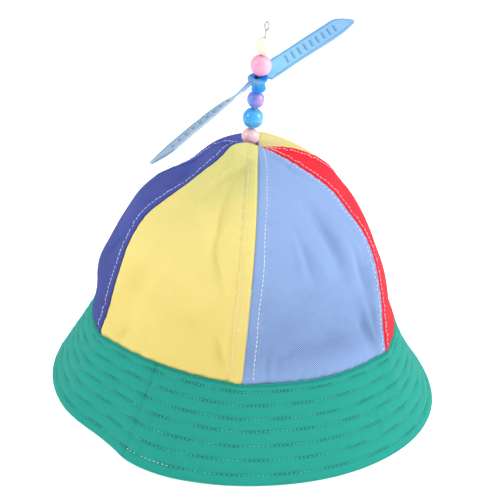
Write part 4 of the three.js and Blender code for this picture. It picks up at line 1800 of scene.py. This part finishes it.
    def _cloth(self) -> None:
        """Make the brim's cloth from a ring."""
        section = len(self.ups) - 1 + 2 * self.round_steps + self.inner_steps
        Bench.clear()
        bpy.ops.mesh.primitive_torus_add(
            major_segments=self.columns, minor_segments=section, major_radius=1, minor_radius=0.3
        )
        piece = Bench.newest("brim_cloth")
        mesh = piece.data
        ring = Bench.points(mesh)
        around = np.degrees(np.arctan2(ring[:, 1], ring[:, 0]))
        column = np.round(around / FULL_TURN * self.columns).astype(int) % self.columns
        lift = np.arctan2(ring[:, 2], np.hypot(ring[:, 0], ring[:, 1]) - 1)
        index = np.round(lift / (2 * math.pi) * section).astype(int) % section
        azimuth = self.seam_azimuth + column * FULL_TURN / self.columns
        points, fold_shade, way = self._section(index, azimuth, (column % 2 == 0).astype(float))
        Bench.put(mesh, points * MM)
        Bench.paint(mesh, SHADE_LAYER, fold_shade)
        corner = Bench.corners(mesh)
        place = np.stack([np.radians(azimuth) * self.middle_radius, way], -1)[corner]
        faces = place.reshape(-1, 4, 2)
        for axis, period in ((0, self.around), (1, None)):
            spread = np.ptp(faces[:, :, axis], axis=1)
            jump = period or way.max()
            wrapped = spread > jump / 2
            low = faces[:, :, axis] < faces[:, :, axis].mean(axis=1, keepdims=True)
            faces[:, :, axis] += np.where(wrapped[:, None] & low, jump, 0)
        Bench.unwrap(mesh, CLOTH_UV, faces.reshape(-1, 2))
        Bench.outwards(piece)
        Bench.smooth(piece, 180)
        Bench.dress(piece, GREEN.material())
        place_piece(piece, "root", "cloth_green", "brim")

    def _face(self, azimuth: Array, up: Array) -> Array:
        """Points of the outer face without its puckers, at the stitching's depth.

        Args:
            azimuth: Degrees from the front.
            up: Share of the way up.

        Returns:
            The points, in millimetres.
        """
        radius, height, out, rise = self._slope(azimuth, up)
        reach = self.half_thickness - self.groove_depth * self.thread_sink
        return round_z(radius + out * reach, np.radians(azimuth), height + rise * reach)

    def _stitching(self) -> None:
        """Sew the rows, one stitch for each two columns of the cloth."""
        count = self.columns // 2
        step = FULL_TURN / count
        turn = 0.05
        runs, pale = [], []
        for number, row in enumerate(self.stitch_rows):
            shift = 0.5 if number % 2 == 0 else 0.0
            azimuth = self.seam_azimuth + (np.arange(count) + shift) * step
            up = np.full(count, row)
            centres = self._face(azimuth, up)
            ways = self._face(azimuth + turn, up) - self._face(azimuth - turn, up)
            spread = np.linalg.norm(ways, axis=1)
            slopes = self._face(azimuth, up + 0.002) - centres
            normals = np.cross(ways, slopes)
            normals /= np.linalg.norm(normals, axis=1, keepdims=True)
            pitch = spread / (2 * turn) * step
            draw = np.random.default_rng(Seed.BRIM_STITCHES + number)
            share = self.thread_share * pitch / self.stitches.length
            stretch = share * draw.uniform(0.93, 1.07, count)
            centres += normals * (0.02 + draw.uniform(-0.16, 0.12, (count, 1)))
            runs.append((centres, ways / spread[:, None], normals, stretch))
            low_row = number == 0
            pale.append(low_row & (azimuth > self.pale_start) & (azimuth < self.pale_end))
        joined = [np.concatenate(column) for column in zip(*runs)]
        chosen = np.concatenate(pale)
        for name, thread, mask in (
            ("brim_stitching", Thread.GREEN, ~chosen),
            ("brim_stitching_pale", Thread.LOOSE, chosen),
        ):
            piece = self.stitches.rows(name, *(column[mask] for column in joined))
            Bench.dress(piece, thread.value.material())
            place_piece(piece, "root", "cloth_green")

    def build(self) -> None:
        """Make the cloth and sew it."""
        self._cloth()
        self._stitching()


# Mast


@dataclass(frozen=True)
class BeadSpec:
    """One bead: its CAD node, its size, its slot and its finish."""

    node: str
    radius: float
    slot: str
    finish: BeadFinish


# Beads: CAD node, radius, slot, and a finish of left and right colours (painted light on the right
# side) and a core colour (painted shade below)
BEADS = (
    BeadSpec("bead_pink_small", 4.9, "bead_coral_pink",
             BeadFinish("polish_coral_pink", "FFCACE", "FFD4D8", "FFB0B8")),
    BeadSpec("bead_sky_blue", 5.85, "bead_blue",
             BeadFinish("polish_sky_blue", "34A8EA", "58BCF2", "2890CF")),
    BeadSpec("bead_purple", 4.9, "bead_violet",
             BeadFinish("polish_violet", "6E8CE4", "B096E0", "7A68BE")),
    BeadSpec("bead_pink_large", 5.85, "bead_rose_pink",
             BeadFinish("polish_rose_pink", "FAA8CA", "FCBCD8", "F58CB6")),
    BeadSpec("bead_ivory", 4.9, "bead_cream",
             BeadFinish("polish_cream", "F3EBD2", "F7F0DE", "EAD3AE")),
)


@dataclass
class Mast:
    """The wire with its hook, and the beads that are threaded on it."""

    crown: CrownShape
    bore: float = 0.85
    bead_steps: int = 34
    bead_sides: int = 64
    mouth_round: float = 0.35
    wire_radius: float = 0.55
    hook_wire_radius: float = 0.5
    hook_width: float = 2.1
    hook_height: float = 5.0
    hook_shaft: float = 6.2
    hook_sidestep: float = 0.9
    hook_curl: float = 250.0
    hook_steps: int = 32
    top_bead_radius: float = 4.9
    anchor_radius: float = 5.0
    anchor_thickness: float = 1.2
    anchor_centre: tuple[float, float, float] = (-5.12, 4.88, 140.6)
    foot_azimuth: float = -135.5
    foot_offset: float = 7.9

    def __post_init__(self) -> None:
        """Take the wire's line from the hinge, which turns about it."""
        hinge = frame["joints"][0]
        self.origin = Vector(hinge["pos_m"])
        self.axis = Vector(hinge["axis"]).normalized()
        self.turn = upright(self.axis)

    def _on_wire(self, node: str) -> Vector:
        """The place on the wire nearest the middle of a CAD node.

        Args:
            node: The CAD node's name.

        Returns:
            The place, in metres.
        """
        low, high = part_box(node)
        middle = (low + high) / 2
        return self.origin + self.axis * (middle - self.origin).dot(self.axis)

    def _bead(self, radius: float) -> bpy.types.Object:
        """Model one size of bead about Z, with softly rounded mouths.

        Args:
            radius: The radius, in millimetres.

        Returns:
            The bead as an object.
        """
        mouth = self.bore + self.mouth_round
        first = math.asin(mouth / radius)
        angles = np.linspace(first, math.pi - first, self.bead_steps)
        skin = [(radius * math.sin(a), radius * math.cos(a)) for a in angles]
        lip = radius * math.cos(first)
        inner = [(self.bore + 0.1, -lip + 0.05), (self.bore, -lip + 0.3),
                 (self.bore, 0.0), (self.bore, lip - 0.3), (self.bore + 0.1, lip - 0.05)]
        return Bench.turned("bead_master", [*skin, *inner], self.bead_sides)

    def _beads(self) -> None:
        """Model each size once, and copy it to its places on the wire."""
        masters = {radius: self._bead(radius) for radius in sorted({b.radius for b in BEADS})}
        for spec in BEADS:
            name = spec.node.replace("bead_", "") + "_bead"
            piece = Bench.stand(name, masters[spec.radius].data.copy())
            piece.data.name = name
            centre = self._on_wire(spec.node)
            piece.data.transform(Matrix.Translation(centre) @ self.turn)
            Bench.smooth(piece, 50)
            Bench.dress(piece, spec.finish.material(centre, spec.radius * MM))
            place_piece(piece, "root", spec.slot, spec.node)
        for master in masters.values():
            bpy.data.objects.remove(master)

    def _route(self, foot: Vector) -> list[Vector]:
        """Points along the wire, from its foot to the end of its hook.

        Args:
            foot: The wire's foot, in metres.

        Returns:
            The points in order, in metres.
        """
        lean = self.turn.to_3x3() @ Vector((1, 0, 0))
        base = self._on_wire("bead_ivory") + self.axis * (self.top_bead_radius * MM)
        route = [foot, base]
        for step in range(1, 7):
            route.append(base + self.axis * (0.1 * self.hook_shaft * step * MM))
        loop = base + self.axis * (self.hook_shaft * MM)
        for step in range(self.hook_steps + 1):
            angle = math.pi - math.radians(self.hook_curl) * step / self.hook_steps
            side = self.hook_width / 2 * (1 + math.cos(angle)) - self.hook_sidestep
            rise = self.hook_height / 2 * math.sin(angle)
            route.append(loop + lean * (side * MM) + self.axis * (rise * MM))
        return route

    def _wire(self) -> None:
        """Bend the wire along its route, and set the flat disc at its foot."""
        foot = Vector(self.anchor_centre) * MM
        route = self._route(foot)
        curve = bpy.data.curves.new("wire_with_hook", "CURVE")
        curve.dimensions = "3D"
        curve.bevel_depth = self.hook_wire_radius * MM
        curve.bevel_resolution = 4
        curve.use_fill_caps = True
        line = curve.splines.new("POLY")
        line.points.add(len(route) - 1)
        thick = self.wire_radius / self.hook_wire_radius
        for index, (point, place) in enumerate(zip(line.points, route)):
            point.co = (*place, 1)
            point.radius = thick if index < 2 else 1 + (thick - 1) * max(0.0, 1 - index / 8)
        wire = Bench.stand("wire_with_hook", curve)
        Bench.pick(wire)
        bpy.ops.object.convert(target="MESH")
        half = self.anchor_thickness / 2
        rim = self.anchor_radius
        outline = [(0.3, -half), (rim - 0.3, -half), (rim, -half + 0.25), (rim, half - 0.25),
                   (rim - 0.3, half), (0.3, half)]
        disc = Bench.turned("anchor", outline, 48)
        up = 1 - self.foot_offset / self.crown.length
        places = self.crown.point(
            np.array([self.foot_azimuth, self.foot_azimuth + 12, self.foot_azimuth]),
            np.array([up, up, up - 0.02]),
        )
        normal = Vector(np.cross(places[1] - places[0], places[0] - places[2])).normalized()
        disc.data.transform(Matrix.Translation(foot) @ upright(normal))
        piece = Bench.joined("wire_with_hook", [wire, disc])
        Bench.outwards(piece)
        Bench.smooth(piece, 40)
        Bench.dress(piece, WireFinish("drawn_steel", "C4C6CA", "8F9297").material())
        place_piece(piece, "root", "wire_steel", "mast_wire")

    def build(self) -> None:
        """Make the beads and the wire."""
        self._beads()
        self._wire()


# Propeller


@dataclass(frozen=True)
class Blade:
    """One blade's twist at its root and tip in degrees, its droop, and where its neck ends."""

    root_twist: float
    tip_twist: float
    droop: float
    lower_neck: float


@dataclass
class Propeller:
    """The propeller: two ribbed blades with raised rims on a flange and a flared socket."""

    bearing: float = 50.6
    climb: float = 16.0
    roll: float = -3.1
    place: tuple[float, float, float] = (-2.856, 1.465, 182.973)
    length: float = 83.2
    neck_chord: float = 2.0
    root_chord: float = 9.7
    tip_chord: float = 11.9
    web: float = 0.8
    rim: float = 1.2
    rim_width: float = 0.8
    flange_radius: float = 5.6
    flange_thickness: float = 1.8
    socket_length: float = 6.1
    socket_wall: float = 1.1
    socket_flare: float = 1.0
    bore_radius: float = 2.03
    rib_count: int = 9
    rib_width: float = 0.9
    rib_height: float = 0.35
    rib_length: float = 5.3
    rib_slant: float = 30.0
    rib_round: float = 0.12
    edge_round: float = 0.1
    web_slope: float = 0.25
    neck_share: float = 0.15
    twist_share: float = 0.22
    first_rib: float = 0.3
    last_rib: float = 0.82
    full_chord: float = 0.6
    early_round: tuple[float, float] = (0.86, 1.34)
    late_round: tuple[float, float] = (0.7, 0.47)
    droop_power: float = 1.5
    tip_round: float = 1.6
    solid_tip: float = 3.0
    web_start: float = 13.5
    rows: int = 72
    right: Blade = Blade(46, 13, 2.1, 0.1)
    left: Blade = Blade(66, 28, 7.5, 0.16)

    def __post_init__(self) -> None:
        """Work out the propeller's own frame: X along the right blade, Z along the bore."""
        bearing, climb = math.radians(self.bearing), math.radians(self.climb)
        flat = Vector((math.cos(bearing), math.sin(bearing), 0))
        x_axis = flat * math.cos(climb) + Vector((0, 0, math.sin(climb)))
        up = Vector((0, 0, 1))
        z_axis = (up - x_axis * up.dot(x_axis)).normalized()
        z_axis.rotate(Matrix.Rotation(-math.radians(self.roll), 3, x_axis))
        y_axis = z_axis.cross(x_axis)
        turn = Matrix((x_axis, y_axis, z_axis)).transposed().to_4x4()
        self.frame = Matrix.Translation(Vector(self.place) * MM) @ turn
        self.root_share = (self.bore_radius + self.flange_radius) / 2 / self.length

    def _edges(self, blade: Blade, share: Array) -> tuple[Array, Array]:
        """Front and back edge of a blade at shares of its length, in millimetres.

        Args:
            blade: The blade's sizes.
            share: Shares of the length.

        Returns:
            Each edge's distance from the blade's middle line, in millimetres.
        """
        grown = np.minimum(share / self.full_chord, 1)
        open_chord = self.root_chord + (self.tip_chord - self.root_chord) * grown
        neck = smooth_share(share, self.root_share, self.neck_share)
        half = (self.neck_chord + (open_chord - self.neck_chord) * neck) / 2
        lower_neck = smooth_share(share, self.root_share, blade.lower_neck)
        lower = (self.neck_chord + (open_chord - self.neck_chord) * lower_neck) / 2
        early_from, early_depth = self.early_round
        late_from, late_depth = self.late_round
        early = np.maximum(share - early_from, 0) / (1 - early_from)
        late = np.maximum(share - late_from, 0) / (1 - late_from)
        least = self.web / 2
        back = half * (1 - early_depth * early**2) + least * late
        return -lower * (1 - late_depth * late**2) - least * late, back

    def _flat_blade(self, name: str, blade: Blade) -> bpy.types.Object:
        """Model a blade lying flat: its outline, its thickness, its rims and its ribs.

        Args:
            name: The object's name.
            blade: The blade's sizes.

        Returns:
            The flat blade as an object.
        """
        piece = Bench.grid(name, self.rows, 1)
        mesh = piece.data
        start = Bench.points(mesh)
        along = (1 - np.cos(np.pi * (start[:, 0] + 0.5))) / 2
        share = self.root_share + (1 - self.root_share) * along
        front, back = self._edges(blade, share)
        middle, half = (front + back) / 2, (back - front) / 2
        near = np.clip((share - 1) * self.length / self.tip_round + 1, 0, 1)
        half = half * np.sqrt(1 - 0.995 * near**2)
        side = np.where(start[:, 1] > 0, middle + half, middle - half)
        places = np.stack([share * self.length, side, np.full(len(side), -self.rim / 2)], -1)
        Bench.put(mesh, places * MM)
        Bench.edit(piece)
        move = {"value": (0, 0, self.rim * MM)}
        bpy.ops.mesh.extrude_region_move(TRANSFORM_OT_translate=move)
        bpy.ops.mesh.select_all(action="SELECT")
        bpy.ops.mesh.normals_make_consistent(inside=False)
        for facing in (1, -1):
            self._inset(piece, facing)
        Bench.clear()
        ribs = [self._rib(blade, number) for number in range(self.rib_count)]
        bars = Bench.joined(name + "_ribs", ribs)
        Bench.apply(piece, "BOOLEAN", operation="UNION", solver="EXACT", object=bars)
        bpy.data.objects.remove(bars)
        Bench.apply(
            piece, "BEVEL", width=self.edge_round * MM, segments=2, limit_method="ANGLE",
            angle_limit=math.radians(35),
        )
        return piece

    def _inset(self, piece: bpy.types.Object, facing: int) -> None:
        """Sink the web between the rims on one face of a flat blade.

        Args:
            piece: the flat blade.
            facing: 1 for the upper face, -1 for the lower one.
        """
        bpy.ops.object.mode_set(mode="OBJECT")
        for part in (piece.data.vertices, piece.data.edges, piece.data.polygons):
            part.foreach_set("select", np.zeros(len(part), bool))
        first, last = self.web_start * MM, (self.length - self.solid_tip) * MM
        for face in piece.data.polygons:
            within = first < face.center.x < last
            face.select = face.normal.z * facing > 0.9 and within
        bpy.ops.object.mode_set(mode="EDIT")
        bpy.ops.mesh.select_mode(type="FACE")
        sink = (self.rim - self.web) / 2
        bpy.ops.mesh.inset(thickness=self.rim_width * MM, depth=0)
        bpy.ops.mesh.inset(thickness=self.web_slope * MM, depth=-sink * MM)

    def _rib(self, blade: Blade, number: int) -> bpy.types.Object:
        """Model one slanted rib on the flat blade's upper face.

        Args:
            blade: The blade's sizes.
            number: The rib's number.

        Returns:
            The rib as an object.
        """
        share = self.first_rib + (self.last_rib - self.first_rib) * number / (self.rib_count - 1)
        front, back = self._edges(blade, np.array(share))
        tall = self.web / 2 + self.rib_height
        middle = (share * self.length * MM, float(front + back) / 2 * MM, tall / 2 * MM)
        Bench.clear()
        bpy.ops.mesh.primitive_cube_add(size=1)
        rib = Bench.newest(f"rib_{number}")
        Bench.edit(rib)
        size = (self.rib_width * MM, self.rib_length * MM, tall * MM)
        bpy.ops.transform.resize(value=size, center_override=(0, 0, 0))
        bpy.ops.mesh.bevel(offset=self.rib_round * MM, segments=2, affect="EDGES")
        Bench.clear()
        slant = Matrix.Rotation(-math.radians(self.rib_slant), 4, "Z")
        rib.data.transform(Matrix.Translation(middle) @ slant)
        return rib

    def _bend(self, piece: bpy.types.Object, blade: Blade, sign: int) -> None:
        """Twist and droop a flat blade, and keep its flat places as its UV map.

        Args:
            piece: the flat blade.
            blade: its twist and droop.
            sign: 1 for the right blade, -1 for the left one.
        """
        mesh = piece.data
        flat = Bench.points(mesh) / MM
        share = flat[:, 0] / self.length
        front, back = self._edges(blade, share)
        across = (flat[:, 1] - front) / np.maximum(back - front, 0.1) * 2 - 1
        Bench.paint(mesh, EDGE, across)
        Bench.unwrap(mesh, BLADE_UV, flat[:, :2][Bench.corners(mesh)])
        rootward = np.exp(-((share / self.twist_share) ** 2))
        twist = np.radians(blade.tip_twist + (blade.root_twist - blade.tip_twist) * rootward)
        droop = blade.droop * np.maximum(share, 0) ** self.droop_power
        side = flat[:, 1] * np.cos(twist) - flat[:, 2] * np.sin(twist)
        rise = flat[:, 1] * np.sin(twist) + flat[:, 2] * np.cos(twist) - droop
        places = np.stack([sign * flat[:, 0], sign * side, rise], -1)
        Bench.put(mesh, places * MM)

    def _blade(self, name: str, blade: Blade, sign: int, finish: BladeFinish) -> None:
        """Model, bend, place and dress one blade.

        Args:
            name: The object's name.
            blade: The blade's sizes.
            sign: Which side of the hub it lies on, 1 or -1.
            finish: The blade's finish.
        """
        piece = self._flat_blade(name, blade)
        self._bend(piece, blade, sign)
        piece.data.transform(self.frame)
        Bench.outwards(piece)
        Bench.smooth(piece, 30)
        Bench.dress(piece, finish.material())
        place_piece(piece, "propeller", "propeller_plastic", "propeller")

    def _hub(self) -> None:
        """Turn the flange, and the flared socket under it."""
        half = self.flange_thickness / 2
        bore, rim = self.bore_radius, self.flange_radius
        flange = Bench.turned("hub", [
            (bore, half), (rim - 0.45, half), (rim - 0.12, half - 0.12), (rim, half - 0.5),
            (rim, -half + 0.5), (rim - 0.12, -half + 0.12), (rim - 0.45, -half), (bore, -half),
        ], 64)
        neck = bore + self.socket_wall
        mouth = neck + self.socket_flare
        foot = -half - self.socket_length
        socket = Bench.turned("socket", [
            (bore + 0.05, -0.2), (neck, -0.2), (mouth - 0.1, foot + 1.1), (mouth, foot + 0.5),
            (mouth - 0.25, foot), (bore + 0.3, foot), (bore + 0.05, foot + 0.3),
        ], 48)
        Bench.apply(flange, "BOOLEAN", operation="UNION", solver="EXACT", object=socket)
        bpy.data.objects.remove(socket)
        flange.name = "propeller_hub"
        flange.data.name = "propeller_hub"
        places = Bench.points(flange.data) / MM
        deep = np.maximum(smooth_share(-places[:, 2], 0.4, 1.6), smooth_share(places[:, 0], -3, 0))
        Bench.paint(flange.data, DEPTH, deep)
        flange.data.transform(self.frame)
        Bench.outwards(flange)
        Bench.smooth(flange, 28)
        Bench.dress(flange, HubFinish("moulded_deep_blue", "0C9CF4", "0A86E6", "6FA9DA").material())
        place_piece(flange, "propeller", "propeller_plastic", "propeller")

    def build(self) -> None:
        """Make the hub and the two blades."""
        finish = BladeFinish("moulded_sky_blue", "86CCF2", "84C0EE", "3A7EBC")
        pale = BladeFinish("moulded_ice_blue", "94C4EA", "B2D2EC", "4C729E")
        self._hub()
        self._blade("right_blade", self.right, 1, finish)
        self._blade("left_blade", self.left, -1, pale)


# Studio


@dataclass(frozen=True)
class SoftBox:
    """One large soft light: where it stands, its size in metres and its power."""

    name: str
    place: tuple[float, float, float]
    size: float
    power: float
    tint: str = "FFFFFF"


@dataclass
class Studio:
    """Floor, lights and the camera at the photograph's angle."""

    picture: float = 500.0
    focal_pixels: float = 1228.0
    sensor: float = 36.0
    distance: float = 700.0
    elevation: float = 24.0
    roll: float = 3.9
    target: tuple[float, float, float] = (0.0, 0.0, 90.0)
    target_pixel: tuple[float, float] = (252.2, 236.8)
    floor_size: float = 9.0
    boxes: tuple[SoftBox, ...] = (
        SoftBox("box_left", (-1.05, -0.4, 0.75), 0.6, 6.8),
        SoftBox("box_right", (1.1, -0.2, 0.7), 0.6, 11.0),
        SoftBox("box_top", (0.0, 0.15, 1.5), 1.8, 13.3),
    )
    sky: str = "FFFFFF"
    sky_strength: float = 0.35

    def _camera(self) -> None:
        """Set the camera where the photograph was taken from."""
        angle = math.radians(self.elevation)
        target = Vector(self.target) * MM
        back = Vector((0, -math.cos(angle), math.sin(angle)))
        data = bpy.data.cameras.new("camera")
        data.sensor_width = self.sensor
        data.lens = self.focal_pixels * self.sensor / self.picture
        data.clip_start = 0.01
        # The middle of the picture lies beside the target's pixel, in the camera's rolled axes
        right = self.target_pixel[0] - self.picture / 2
        down = self.target_pixel[1] - self.picture / 2
        data.shift_x = -right / self.picture
        data.shift_y = down / self.picture
        camera = Bench.stand("camera", data)
        level = Matrix.Rotation(math.radians(90 - self.elevation), 4, "X")
        tilt = Matrix.Rotation(math.radians(self.roll), 4, "Z")
        place = Matrix.Translation(target + back * (self.distance * MM))
        camera.matrix_world = place @ level @ tilt
        bpy.context.scene.camera = camera

    def _lights(self) -> None:
        """Hang the soft lights and a plain bright sky."""
        for box in self.boxes:
            data = bpy.data.lights.new(box.name, "AREA")
            data.size = box.size
            data.energy = box.power
            data.color = srgb(box.tint)[:3]
            light = Bench.stand(box.name, data)
            light.location = box.place
            aim = Vector((0, 0, 0.1)) - Vector(box.place)
            light.rotation_euler = aim.to_track_quat("-Z", "Y").to_euler()
        world = bpy.data.worlds.new("sky")
        world.use_nodes = True
        sky = world.node_tree.nodes["Background"]
        sky.inputs["Color"].default_value = srgb(self.sky)
        sky.inputs["Strength"].default_value = self.sky_strength
        bpy.context.scene.world = world

    def _floor(self) -> None:
        """Lay the floor."""
        Bench.clear()
        bpy.ops.mesh.primitive_plane_add(size=self.floor_size)
        floor = Bench.newest("floor")
        Bench.dress(floor, FloorFinish("pale_floor", "FFFFFF").material())

    def build(self) -> None:
        """Set up the camera, the lights and the floor."""
        bpy.context.scene.view_settings.view_transform = "Standard"
        self._camera()
        self._lights()
        self._floor()


def main() -> None:
    """Build the studio and every piece of the hat."""
    logging.basicConfig(level=logging.INFO, format="%(name)s: %(message)s")
    Studio().build()
    crown = CrownShape()
    stitches = StitchMaker()
    builders: tuple[Callable[[], None], ...] = (
        Crown(crown, stitches).build,
        Brim(crown, stitches).build,
        Mast(crown).build,
        Propeller().build,
    )
    for build in builders:
        build()


if __name__ == "__main__":
    main()
